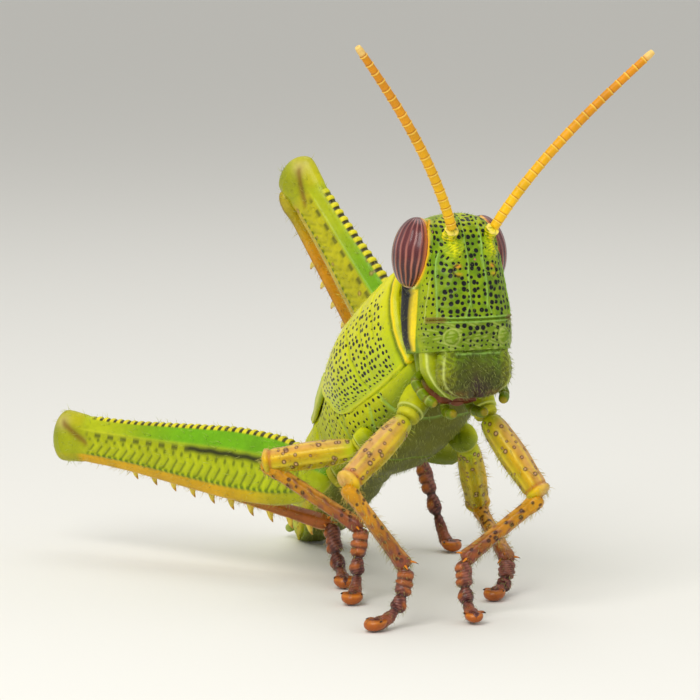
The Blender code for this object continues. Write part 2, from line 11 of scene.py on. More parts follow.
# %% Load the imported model
import bpy
import numpy as np
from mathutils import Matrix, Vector


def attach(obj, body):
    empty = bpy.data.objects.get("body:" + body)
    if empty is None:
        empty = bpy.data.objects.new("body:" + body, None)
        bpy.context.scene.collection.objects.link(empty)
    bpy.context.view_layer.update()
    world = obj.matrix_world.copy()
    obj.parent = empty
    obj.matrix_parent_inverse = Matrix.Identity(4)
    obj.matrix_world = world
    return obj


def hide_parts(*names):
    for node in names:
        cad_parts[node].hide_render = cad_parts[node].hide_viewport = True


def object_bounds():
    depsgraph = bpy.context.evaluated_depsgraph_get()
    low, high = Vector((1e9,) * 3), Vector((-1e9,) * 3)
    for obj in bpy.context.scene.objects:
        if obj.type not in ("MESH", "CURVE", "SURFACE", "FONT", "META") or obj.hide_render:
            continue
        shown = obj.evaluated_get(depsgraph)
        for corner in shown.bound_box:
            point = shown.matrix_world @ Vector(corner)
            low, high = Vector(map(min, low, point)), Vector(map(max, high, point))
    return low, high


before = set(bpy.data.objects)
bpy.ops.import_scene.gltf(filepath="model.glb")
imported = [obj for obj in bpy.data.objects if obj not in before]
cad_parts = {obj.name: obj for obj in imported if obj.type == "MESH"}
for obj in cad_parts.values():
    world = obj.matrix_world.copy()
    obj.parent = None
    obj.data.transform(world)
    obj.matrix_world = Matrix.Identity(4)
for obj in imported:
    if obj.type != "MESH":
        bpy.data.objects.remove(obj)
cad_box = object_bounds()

MM = 0.001
CENTRE_SHIFT = np.array([1.841, -9.254, 0.0])   # body frame to the model's centred frame
print("solids", len(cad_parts), "box", [round(v / MM, 2) for v in cad_box[1] - cad_box[0]])

# %% [markdown]
# ## Curves that shape the surfaces
#
# A cuticle is full of soft steps and ridges. Three small functions make nearly all of them: a
# step that eases from 0 to 1, a bell that rises and falls, and a curve through a few named
# points that never swings past them.

# %% Steps, bells and curves
def smooth(t):
    """Ease from 0 to 1: three t squared less two t cubed."""
    t = np.clip(t, 0.0, 1.0)
    return t * t * (3.0 - 2.0 * t)


def step(x, edge, width):
    """0 below the edge and 1 above it, with a slope this wide."""
    return smooth((x - edge) / width + 0.5)


def bell(x, width):
    """1 at zero, falling away to both sides as exp of minus (x / width) squared."""
    return np.exp(-(np.asarray(x) / width) ** 2)


def power(v, p):
    """Signed power, the builder of rounded-square sections."""
    return np.sign(v) * np.abs(v) ** p


def through(x, xs, ys):
    """Cubic pieces through points; each slope is the harmonic mean of its neighbours'."""
    xs, ys = np.asarray(xs, float), np.asarray(ys, float)
    gap = np.diff(xs)
    rise = np.diff(ys) / gap
    slope = np.zeros_like(ys)
    same = rise[1:] * rise[:-1] > 0.0
    total = np.where(same, rise[1:] + rise[:-1], 1.0)
    slope[1:-1] = np.where(same, 2.0 * rise[1:] * rise[:-1] / total, 0.0)
    slope[0], slope[-1] = rise[0], rise[-1]
    x = np.clip(x, xs[0], xs[-1])
    k = np.clip(np.searchsorted(xs, x, side="right") - 1, 0, len(gap) - 1)
    t, h = (x - xs[k]) / gap[k], gap[k]
    return ((1 + 2 * t) * (1 - t) ** 2 * ys[k] + t * (1 - t) ** 2 * h * slope[k]
            + t * t * (3 - 2 * t) * ys[k + 1] + t * t * (t - 1) * h * slope[k + 1])


def mix(first, second, share):
    """Blend two colours, or grids of them, by a share between 0 and 1."""
    share = np.clip(np.asarray(share, float), 0.0, 1.0)[..., None]
    return np.asarray(first) * (1.0 - share) + np.asarray(second) * share


def coated(tint, coats):
    """Lay (colour, share) coats over a tint, one after another."""
    for colour, share in coats:
        tint = mix(tint, colour, share)
    return tint


def full_turn(count):
    """Angles right round, the last stopping short of the first."""
    return np.linspace(0.0, 2.0 * np.pi, count, endpoint=False)


def reach_from(centre, *axes):
    """Points: the centre plus each distance times its direction."""
    for distance, direction in axes:
        centre = centre + np.asarray(distance)[..., None] * direction
    return centre


def ball(rows, cols):
    """Height angle and turn of a ball's points, and their three unit coordinates."""
    tall = np.linspace(-np.pi / 2, np.pi / 2, rows + 2)[1:-1, None]
    turn = full_turn(cols) + 0.0 * tall
    return (tall, turn, np.cos(tall) * np.cos(turn), np.cos(tall) * np.sin(turn),
            np.sin(tall) + 0.0 * turn)


def away(p, a, b):
    """Distance of grid points p (x, y) from the straight line between a and b."""
    p, a, b = np.asarray(p, float), np.asarray(a, float), np.asarray(b, float)
    t = np.clip(((p - a) @ (b - a)) / ((b - a) @ (b - a)), 0.0, 1.0)
    return np.linalg.norm(p - a - t[..., None] * (b - a), axis=-1)


# %% [markdown]
# ## From a grid of points to a mesh
#
# Every piece is a grid of rings: rows run along it and columns run round it, the last column
# meeting the first. Two pole points close the ends. The same grid gives the unwrap, in
# millimetres, so that pits keep one size wherever they fall, and it carries two painted
# values: the tint of the cuticle, and how deeply it is pitted there.

# %% Grid tools
def outward(grid):
    """Unit normals: the cross product of the two tangents, turned away from the middle."""
    along = np.gradient(grid, axis=0)
    around = np.roll(grid, -1, 1) - np.roll(grid, 1, 1)
    normal = np.cross(around, along)
    normal /= np.maximum(np.linalg.norm(normal, axis=2, keepdims=True), 1e-9)
    return normal * np.sign(np.sum(normal * (grid - grid.mean(axis=1, keepdims=True))))


def raised(grid, height):
    """Push each point along its normal by a height in mm."""
    return grid + outward(grid) * np.asarray(height)[..., None]


def unwrap(grid, middle):
    """Lengths in mm: round each ring from the middle column, and along that column."""
    ring = np.concatenate([grid, grid[:, :1]], axis=1)
    around = np.linalg.norm(np.diff(ring, axis=1), axis=2).cumsum(axis=1)
    around = np.concatenate([np.zeros((len(grid), 1)), around], axis=1)
    around = around - around[:, middle:middle + 1]
    along = np.linalg.norm(np.diff(grid[:, middle], axis=0), axis=1).cumsum()
    along = np.concatenate([[0.0], along])[:, None]
    return np.stack([around, np.broadcast_to(along, around.shape)], axis=-1)


def shape(grid, tint, pits=0.0, middle=0):
    """One closed grid with its unwrap and painted values."""
    size = grid.shape[:2]
    return {"grid": grid, "tint": np.broadcast_to(tint, size + (3,)),
            "pits": np.broadcast_to(pits, size), "uv": unwrap(grid, middle)}


def mesh_parts(item, start):
    """Vertices, faces and painted values of one closed grid, faces turned outward."""
    grid, uv = item["grid"], item["uv"]
    rows, cols = grid.shape[:2]
    number = np.arange(rows * cols).reshape(rows, cols)
    ring = np.concatenate([number, number[:, :1]], axis=1)
    quads = np.stack([ring[:-1, :-1], ring[:-1, 1:], ring[1:, 1:], ring[1:, :-1]], -1)
    quad_uv = np.stack([uv[:-1, :-1], uv[:-1, 1:], uv[1:, 1:], uv[1:, :-1]], 2)
    tips, tip_uv = [], []
    for row, pole, a, b in ((0, rows * cols, 1, 0), (-1, rows * cols + 1, 0, 1)):
        edge = [ring[row, a:cols + a], ring[row, b:cols + b]]
        tips.append(np.stack(edge + [np.full(cols, pole)], -1))
        mid = 0.5 * (uv[row, :-1] + uv[row, 1:])
        tip_uv.append(np.stack([uv[row, a:cols + a], uv[row, b:cols + b], mid], 1))
    ends = [np.concatenate([v.reshape(rows * cols, -1), v[:1].mean(1), v[-1:].mean(1)])
            for v in (grid, item["tint"], item["pits"][..., None])]
    quads, tips = quads.reshape(-1, 4), np.concatenate(tips)
    quad_uv, tip_uv = quad_uv.reshape(-1, 4, 2), np.concatenate(tip_uv)
    a, b, c, d = (ends[0][quads[:, k]] for k in range(4))
    volume = np.sum(np.cross(b - a, c - a) * a) + np.sum(np.cross(c - a, d - a) * a)
    if volume < 0.0:
        quads, tips = quads[:, ::-1], tips[:, ::-1]
        quad_uv, tip_uv = quad_uv[:, ::-1], tip_uv[:, ::-1]
    return ends, quads + start, tips + start, quad_uv, tip_uv


SIDES = (("right", 1), ("left", -1))
made = {}


def add_piece(name, mesh, tint, finish, nodes=()):
    """Paint a mesh's points, give it its finish and add it to the model."""
    colour = np.concatenate([tint, np.ones((len(tint), 1))], axis=1).astype(np.float32)
    layer = mesh.color_attributes.new("tint", "FLOAT_COLOR", "POINT")
    layer.data.foreach_set("color", colour.ravel())
    mesh.materials.append(finish)
    mesh.shade_smooth()
    piece = bpy.data.objects.new(name, mesh)
    bpy.context.scene.collection.objects.link(piece)
    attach(piece, "root")
    if nodes:
        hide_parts(*nodes)


def put(name, shapes, finish, *nodes):
    """Make one object from closed grids and let it stand for the named solids."""
    points, tint, pits, faces, loops = [], [], [], [], []
    start = 0
    for item in shapes:
        ends, quads, tips, quad_uv, tip_uv = mesh_parts(item, start)
        points.append(ends[0])
        tint.append(ends[1])
        pits.append(ends[2])
        faces += quads.tolist() + tips.tolist()
        loops += [quad_uv.reshape(-1, 2), tip_uv.reshape(-1, 2)]
        start += len(ends[0])
    mesh = bpy.data.meshes.new(name)
    mesh.from_pydata((np.concatenate(points) + CENTRE_SHIFT) * MM, [], faces)
    mesh.uv_layers.new(name="skin").data.foreach_set("uv", np.concatenate(loops).ravel())
    layer = mesh.attributes.new("pits", "FLOAT", "POINT")
    layer.data.foreach_set("value", np.concatenate(pits).astype(np.float32).ravel())
    add_piece(name, mesh, np.concatenate(tint), finish, nodes)
    made[name] = shapes


# %% [markdown]
# ## Colours
#
# Named once, as they look on the animal in soft daylight, and turned into the linear values
# that shaders use.

# %% The palette
def paint(red, green, blue):
    """Screen colour 0 to 255 turned to linear light."""
    c = np.array([red, green, blue]) / 255.0
    return np.where(c <= 0.04045, c / 12.92, ((c + 0.055) / 1.055) ** 2.4)


LIME, BRIGHT, GREEN = paint(202, 206, 0), paint(226, 218, 0), paint(126, 146, 0)
FACE, DEEP, OLIVE = paint(124, 156, 0), paint(58, 80, 0), paint(92, 96, 0)
YELLOW, GOLD, PALE = paint(242, 214, 14), paint(226, 170, 16), paint(204, 214, 118)
MINT, ORANGE, AMBER = paint(152, 196, 96), paint(206, 122, 24), paint(222, 150, 30)
RUST, BROWN, UMBER = paint(170, 88, 30), paint(118, 60, 26), paint(66, 32, 18)
BLACK, MAROON, ROSE = paint(9, 10, 12), paint(66, 26, 30), paint(178, 112, 104)

# %% [markdown]
# ## The cuticle
#
# Insect cuticle is a thin lacquered shell. Under a lens it has fine grain, a slightly uneven
# colour, and on this animal round black pits. Two node groups give the grain and the pits, and
# every cuticle material uses them with its own sizes. The pits are a two-dimensional cell
# pattern on the unwrap: around each cell's centre lies a dot whose size varies from cell to
# cell.

# %% Node helpers
def node(tree, kind, **settings):
    """Add a node and set its plain properties."""
    new = tree.nodes.new(kind)
    for key, value in settings.items():
        setattr(new, key, value)
    return new


def feed(tree, socket, value):
    """Put a number on a socket, or link another socket to it."""
    if hasattr(value, "is_linked"):
        tree.links.new(value, socket)
    else:
        socket.default_value = value


def wire(tree, target, values):
    """Feed a node's sockets, by label or number."""
    for label, value in values.items():
        feed(tree, target.inputs[label], value)


def calc(tree, operation, *values):
    """One Math node; numbers or sockets in, a socket out."""
    new = node(tree, "ShaderNodeMath", operation=operation)
    wire(tree, new, dict(enumerate(values)))
    return new.outputs[0]


def ramp(tree, value, low, high, bottom, top):
    """Map a value smoothly from low..high to bottom..top."""
    new = node(tree, "ShaderNodeMapRange", interpolation_type="SMOOTHSTEP")
    wire(tree, new, {"Value": value, "From Min": low, "From Max": high, "To Min": bottom,
                     "To Max": top})
    return new.outputs["Result"]


def blend(tree, share, first, second):
    """Mix two colours."""
    new = node(tree, "ShaderNodeMix", data_type="RGBA")
    wire(tree, new, {0: share, 6: first, 7: second})
    return new.outputs[2]


def group(name, inputs, outputs):
    """Empty shader group with named sockets."""
    tree = bpy.data.node_groups.new(name, "ShaderNodeTree")
    for label, kind, value in inputs:
        socket = tree.interface.new_socket(label, in_out="INPUT", socket_type="NodeSocket" + kind)
        if kind == "Float":
            socket.default_value = value
    for label, kind in outputs:
        tree.interface.new_socket(label, in_out="OUTPUT", socket_type="NodeSocket" + kind)
    return tree, tree.nodes.new("NodeGroupInput"), tree.nodes.new("NodeGroupOutput")


# %% The pit group
CELL_SCATTER = 0.52             # how far the cells stray from an even lattice


def pit_group():
    """Dots: share of a cell within radius = size x random x amount of its centre."""
    tree, given, result = group(
        "pits", [("Place", "Vector", None), ("Spacing", "Float", 0.4), ("Size", "Float", 0.25),
                 ("Amount", "Float", 1.0)], [("Mask", "Float"), ("Hollow", "Float")])
    scaled = node(tree, "ShaderNodeVectorMath", operation="DIVIDE")
    spacing = node(tree, "ShaderNodeCombineXYZ")
    wire(tree, spacing, dict.fromkeys("XYZ", given.outputs["Spacing"]))
    wire(tree, scaled, {0: given.outputs["Place"], 1: spacing.outputs[0]})
    cells = node(tree, "ShaderNodeTexVoronoi", voronoi_dimensions="2D", feature="F1")
    wire(tree, cells, {"Scale": 1.0, "Randomness": CELL_SCATTER, "Vector": scaled.outputs[0]})
    parts = node(tree, "ShaderNodeSeparateColor")
    wire(tree, parts, {0: cells.outputs["Color"]})
    varied = calc(tree, "MULTIPLY_ADD", parts.outputs[0], 0.4, 0.7)
    radius = calc(tree, "MULTIPLY", varied, given.outputs["Size"])
    radius = calc(tree, "MULTIPLY", radius, given.outputs["Amount"])
    inner = calc(tree, "MULTIPLY_ADD", radius, 0.85, -0.015)
    outer = calc(tree, "MULTIPLY_ADD", radius, 1.1, 0.03)
    dot = ramp(tree, cells.outputs["Distance"], inner, outer, 1.0, 0.0)
    present = ramp(tree, given.outputs["Amount"], 0.15, 0.5, 0.0, 1.0)
    mask = calc(tree, "MULTIPLY", dot, present)
    wide = calc(tree, "MULTIPLY_ADD", radius, 1.7, 0.04)
    bowl = ramp(tree, cells.outputs["Distance"], 0.0, wide, 1.0, 0.0)
    wire(tree, result, {"Mask": mask, "Hollow": calc(tree, "MULTIPLY", bowl, present)})
    return tree


# %% The grain group
def grain_group():
    """Uneven tone in broad patches and fine grain, from two sizes of noise."""
    tree, given, result = group(
        "grain", [("Place", "Vector", None), ("Patch", "Float", 700.0), ("Fine", "Float", 6000.0),
                  ("Strength", "Float", 0.15)], [("Tone", "Float"), ("Grain", "Float")])
    patches = node(tree, "ShaderNodeTexNoise", noise_dimensions="3D")
    fine = node(tree, "ShaderNodeTexNoise", noise_dimensions="3D")
    for noise, label, detail in ((patches, "Patch", 3.0), (fine, "Fine", 4.0)):
        wire(tree, noise, {"Detail": detail, "Vector": given.outputs["Place"],
                           "Scale": given.outputs[label]})
    both = calc(tree, "ADD", calc(tree, "MULTIPLY", patches.outputs["Fac"], 1.4),
                calc(tree, "MULTIPLY", fine.outputs["Fac"], 0.6))
    centred = calc(tree, "SUBTRACT", both, 1.0)
    swing = calc(tree, "MULTIPLY", centred, given.outputs["Strength"])
    wire(tree, result, {"Tone": calc(tree, "MULTIPLY_ADD", swing, 2.0, 1.0),
                        "Grain": fine.outputs["Fac"]})
    return tree


PITS, GRAIN = pit_group(), grain_group()


# %% One recipe for every cuticle
COAT_ROUGHNESS, SPECULAR_LEVEL = 0.16, 0.22
GRAIN_HEIGHT, PIT_DEPTH = 0.45, 0.9       # shares of the bump's relief


def cuticle(name, slot, rough=0.36, coat=0.11, spacing=0.42, size=0.25, patch=700.0,
            fine=6000.0, uneven=0.16, relief=0.035):
    """Lacquered shell: painted tint x grain, pits on top, both also in the bump."""
    finish = bpy.data.materials.new(name)
    finish.use_nodes = True
    tree = finish.node_tree
    shader = tree.nodes["Principled BSDF"]
    place = node(tree, "ShaderNodeTexCoord")
    tint = node(tree, "ShaderNodeAttribute", attribute_name="tint")
    amount = node(tree, "ShaderNodeAttribute", attribute_name="pits")
    uv = node(tree, "ShaderNodeUVMap", uv_map="skin")
    grain = node(tree, "ShaderNodeGroup", node_tree=GRAIN)
    pits = node(tree, "ShaderNodeGroup", node_tree=PITS)
    wire(tree, grain, {"Place": place.outputs["Object"], "Patch": patch, "Fine": fine,
                       "Strength": uneven})
    wire(tree, pits, {"Place": uv.outputs[0], "Amount": amount.outputs["Fac"],
                      "Spacing": spacing, "Size": size})
    toned = node(tree, "ShaderNodeVectorMath", operation="SCALE")
    wire(tree, toned, {0: tint.outputs["Color"], "Scale": grain.outputs["Tone"]})
    colour = blend(tree, pits.outputs["Mask"], toned.outputs[0], (*BLACK, 1.0))
    gloss = calc(tree, "MULTIPLY_ADD", grain.outputs["Grain"], 0.25, rough - 0.12)
    height = calc(tree, "SUBTRACT", calc(tree, "MULTIPLY", grain.outputs["Grain"], GRAIN_HEIGHT),
                  calc(tree, "MULTIPLY", pits.outputs["Hollow"], PIT_DEPTH))
    bump = node(tree, "ShaderNodeBump")
    wire(tree, bump, {"Distance": relief * MM, "Strength": 1.0, "Height": height})
    wire(tree, shader, {"Base Color": colour, "Roughness": gloss, "Normal": bump.outputs[0],
                        "Coat Weight": coat, "Coat Roughness": COAT_ROUGHNESS,
                        "Specular IOR Level": SPECULAR_LEVEL})
    finish["slot"] = slot
    return finish


shell = cuticle("lime shell", "lime_shell", spacing=0.42, size=0.31)
face = cuticle("pitted face", "green_head", rough=0.42, coat=0.04, spacing=0.345, size=0.36,
               uneven=0.26)
hide = cuticle("olive underside", "belly", rough=0.55, coat=0.02, spacing=0.45, size=0.22,
               fine=4200.0, uneven=0.3)
print("materials", len(bpy.data.materials))

# %% [markdown]
# ## The body
#
# The trunk is one long tapering tube on a bent axis: head-up, turning a little to the left and
# rolling a little toward the tail. Its section is a rounded square with a low keel on top. The
# same sizes shape the trunk, the saddle over it, and the small wing pads.

# %% The body's axis and skin
FRONT_RING = np.array([0.0, 0.0, 15.4])
PITCH_FRONT, PITCH_REAR = 30.4, 36.3      # degrees head-up
HEADING_REAR = 10.0                       # the abdomen swings to the left side
ROLL_FRONT, ROLL_REAR = 2.0, 8.0
BEND_START, BEND_LENGTH = 6.0, 10.0
# distance behind the front ring, half width, top, bottom
BODY_SIZES = np.array([
    (0.0, 2.84, 3.55, 3.55), (1.5, 3.17, 3.85, 4.15), (4.0, 3.36, 3.86, 4.75),
    (7.0, 3.47, 3.74, 5.00), (9.5, 3.14, 3.36, 4.85), (11.5, 2.72, 3.08, 4.35),
    (13.0, 2.54, 2.90, 3.85), (15.0, 2.16, 2.38, 3.35), (19.0, 2.14, 2.32, 2.75),
    (23.0, 1.75, 1.92, 2.10),
    (26.0, 1.10, 1.20, 1.25), (27.6, 0.45, 0.50, 0.50)])
WAIST, SHOULDER, BELLY, CREST = -0.6, 0.80, 0.74, 0.14


def basis(pitch, heading, roll):
    """Right, ahead and up directions for angles in degrees."""
    p, h, r = np.radians(np.broadcast_arrays(pitch, heading, roll)).astype(float)
    ahead = np.stack([-np.sin(h) * np.cos(p), -np.cos(h) * np.cos(p), np.sin(p)], -1)
    right = np.stack([-np.cos(h), np.sin(h), 0.0 * h], -1)
    up = np.cross(right, ahead)
    c, s = np.cos(r)[..., None], np.sin(r)[..., None]
    return c * right - s * up, ahead, c * up + s * right


STATION_STEP = 0.05
STATIONS = np.arange(-4.0, 29.0, STATION_STEP)
bend = smooth((STATIONS - BEND_START) / BEND_LENGTH)
RIGHT, AHEAD, UP = basis(PITCH_FRONT + (PITCH_REAR - PITCH_FRONT) * bend, HEADING_REAR * bend,
                         ROLL_FRONT + (ROLL_REAR - ROLL_FRONT) * bend)
HALF_STEPS = -0.5 * STATION_STEP * (AHEAD[1:] + AHEAD[:-1])
LINE = np.concatenate([np.zeros((1, 3)), HALF_STEPS]).cumsum(axis=0)
LINE = LINE + FRONT_RING - LINE[np.argmin(np.abs(STATIONS))]


def along_axis(back, table):
    """Read a table kept along the axis at any distance behind the front ring."""
    return np.stack([np.interp(back, STATIONS, table[:, k]) for k in range(3)], axis=-1)


def fold(angle):
    """Section angle counted the same on both sides: -90 belly, 0 flank, 90 back."""
    return np.where(angle <= 90.0, angle, 180.0 - angle)


def skin(back, angle, off, shrink=1.0):
    """Point on the body: angle -90 belly, 0 right flank, 90 back, 180 left flank."""
    back, angle, off, shrink = np.broadcast_arrays(back, angle, off, shrink)
    wide, top, low = (through(back, BODY_SIZES[:, 0], BODY_SIZES[:, k]) for k in (1, 2, 3))
    c, s = np.cos(np.radians(angle)), np.sin(np.radians(angle))
    side = (wide + off) * power(c, np.where(s >= 0.0, SHOULDER, BELLY))
    keel = CREST * (bell(angle - 90.0, 5.0) - smooth(3.0 * np.clip(s, 0.0, 1.0)))
    high = np.where(s >= 0.0, (top - WAIST + off) * s + keel, (low + WAIST + off) * power(s, 0.8))
    side, high = side * shrink, WAIST + high * shrink
    return reach_from(along_axis(back, LINE), (side, along_axis(back, RIGHT)),
                      (high, along_axis(back, UP)))


# %% Where the saddle's edge lies
PRONOTUM_TOP, PRONOTUM_LOBE, LOBE_SWEEP = 12.9, 5.0, 0.33
LOBE_FRONT, LOBE_ANGLE = -28.0, -18.0     # lower edge at the collar, at the lobe's rear
THORAX_CUTS = (2.9, 7.7, 13.0)
ABDOMEN_CUTS = np.array([13.0, 15.6, 18.3, 20.9, 23.5, 25.6])
PAD_END, PAD_ROUND, PAD_SLOPE = 15.5, 0.4, 2.0
PAD_LOW, PAD_TOP = 34.0, 84.0             # section angles of a pad's edges
PAD_PROUD, PAD_HIGH = 0.10, 0.30          # above the skin on the thorax, on the abdomen
PAD_THICK, PAD_THIN = 0.50, 0.30          # on the thorax, on the abdomen


def rear_margin(angle):
    """Length of the saddle at a section angle: longest along the back."""
    up = np.clip((fold(angle) - LOBE_ANGLE) / (90.0 - LOBE_ANGLE), 0.0, 1.0)
    return PRONOTUM_LOBE + (PRONOTUM_TOP - PRONOTUM_LOBE) * up ** LOBE_SWEEP


def lower_margin(back):
    """Section angle of the saddle's lower edge, rising a little toward the rear."""
    return LOBE_FRONT + (LOBE_ANGLE - LOBE_FRONT) * np.clip(back / PRONOTUM_LOBE, 0.0, 1.0)


def pad_bed(back):
    """1 where the wing pads lie in a full bed, falling to 0 along the abdomen."""
    return np.clip(1.0 - (back - THORAX_CUTS[2]) / PAD_SLOPE, 0.0, 1.0)


# %% [markdown]
# ## The trunk
#
# Below and behind the saddle lie the breast plates, the flanks with their slanting seams, and
# the abdomen: overlapping rings, each with a soft fold low on the side, a breathing hole above
# the fold, and a pale hind edge. One surface carries them all, so no joint shows between the
# plates. Each ring swells toward its hind edge and drops sharply to the next one.

# %% The trunk's form
TRUNK_ENDS, TAIL_END = (0.1, 27.55), 28.3   # first and last ring, end of the last plate
BED_DEPTH = 0.46                            # how far it lies below the saddle and the pads
HOLE_SHARE, HOLE_ANGLE = 0.32, -14.0        # breathing holes, by share of a plate and angle
EAR_BACK, EAR_ANGLE = 14.2, 12.0
ROUND_TAIL, ROUND_NOSE = (26.9, 0.65), (0.5, 0.4)   # where the rounding starts, how long
# slanting seams of the flank: from and to, as distance back and height round the side
FLANK_SEAMS = (((5.0, -1.4), (6.9, -3.6)), ((7.6, -0.2), (9.5, -2.9)),
               ((9.9, 0.6), (11.9, -2.0)), ((5.7, -3.4), (8.2, -3.3)),
               ((9.2, -3.1), (12.4, -2.6)))


def trunk():
    """Rings of body skin, lowered under saddle and pads, stepped at each abdominal plate."""
    rows, cols = 330, 190
    back = np.linspace(*TRUNK_ENDS, rows)[:, None] * np.ones(cols)
    angle = -90.0 + 360.0 * np.arange(cols) / cols + 0.0 * back
    flank = fold(angle)
    under_saddle = step(flank, lower_margin(back), 5.0) * step(rear_margin(angle) - back, 0.2, 0.3)
    under_pad = step(flank, 18.0, 16.0) * step(back, 8.6, 1.2) * pad_bed(back)
    off = -BED_DEPTH * np.maximum(under_saddle, under_pad)

    seg = np.clip(np.searchsorted(ABDOMEN_CUTS, back, side="right") - 1, 0, 5)
    plates = np.append(ABDOMEN_CUTS, TAIL_END)
    share = np.clip((back - plates[seg]) / (plates[seg + 1] - plates[seg]), 0.0, 1.0)
    belly_part = step(back, 12.9, 0.3)
    nearest = np.min(np.abs(back[..., None] - ABDOMEN_CUTS), axis=-1)
    off = off + belly_part * (0.13 * share ** 1.5 - 0.05 - 0.16 * bell(nearest, 0.10))
    side_fold = bell(flank + 30.0 + 4.0 * np.sin(share * np.pi), 4.0) * step(back, 12.0, 1.2)
    off = off - 0.17 * side_fold
    hole = np.hypot((share - HOLE_SHARE) * 2.7, (flank - HOLE_ANGLE) / 16.0)
    hole_rim = belly_part * bell(hole - 0.17, 0.07)
    hole_pit = belly_part * bell(hole, 0.11)
    off = off + 0.05 * hole_rim - 0.10 * hole_pit
    ear = np.hypot(back - EAR_BACK, (flank - EAR_ANGLE) / 18.0)
    off = off - 0.14 * (1.0 - step(ear, 0.55, 0.2)) + 0.05 * bell(ear - 0.66, 0.08)

    bare = 1.0 - under_saddle
    seams = 0.0 * back
    for cut in THORAX_CUTS[:2]:
        seams = seams + bell(back - cut - 0.012 * (flank + 90.0), 0.09) * bare
    place = np.stack([back, flank * 0.055], axis=-1)
    for a, b in FLANK_SEAMS:
        seams = seams + bell(away(place, a, b), 0.07) * bare
    middle = bell(flank + 90.0, 4.0) * (1.0 - belly_part)
    off = off - 0.13 * np.clip(seams, 0.0, 1.0) - 0.06 * middle

    tail = np.clip((back - ROUND_TAIL[0]) / ROUND_TAIL[1], 0.0, 1.0)
    nose = np.clip((ROUND_NOSE[0] - back) / ROUND_NOSE[1], 0.0, 1.0)
    shrink = np.sqrt(np.clip(1.0 - np.maximum(tail, nose) ** 2, 0.0004, 1.0))
    grid = skin(back, angle, off, shrink)
    grid[..., 2] = np.maximum(grid[..., 2], 0.0)

    tint = coated(mix(OLIVE, GREEN, step(flank, -46.0, 30.0)), (
        (LIME, 0.8 * step(flank, -32.0, 22.0)),
        (BRIGHT, 0.55 * belly_part * step(flank, 40.0, 40.0)),
        (PALE, 0.5 * belly_part * bell(flank - 90.0, 5.0)),
        (PALE, 0.55 * belly_part * bell(share - 0.97, 0.05)),
        (GOLD, 0.35 * belly_part * bell(flank + 20.0, 9.0)),
        (MINT, 0.7 * np.clip(seams, 0.0, 1.0)),
        (UMBER, 0.9 * hole_pit),
        (GOLD, 0.5 * hole_rim)))
    pits = bare * step(back, 3.3, 0.5) * (1.0 - step(back, 12.2, 0.6)) * step(flank, -64.0, 18.0)
    pits = np.maximum(pits, 0.42 * belly_part * step(flank, -20.0, 14.0))
    return shape(grid, tint, pits * (1.0 - np.clip(seams, 0.0, 1.0)), cols // 4)


TRUNK_NODES = ["prosternum", "mesothorax", "metathorax", "abdomen_tip"]
TRUNK_NODES += ["abdomen_%d" % k for k in range(1, 6)]
put("trunk", [trunk()], hide, *TRUNK_NODES)
print("trunk ring widths", BODY_SIZES[::2, 1])

# %% [markdown]
# ## The pronotum
#
# The great saddle plate. It is a shell a third of a millimetre thick that starts in a raised
# yellow collar behind the head, is crossed by shallow furrows, keeps a low keel, and ends in
# a rounded hind edge. A ring of the grid runs over the outside, round the lower edge, and back
# along the inside; near the front and hind edges the ring thins to nothing, which rounds them.

# %% The saddle
SADDLE_HALF = 0.17              # half the plate's thickness
# furrows: share of the length, lowest section angle, depth
FURROWS = ((0.22, 10.0, 1.0), (0.36, -8.0, 0.75), (0.50, -14.0, 1.0))


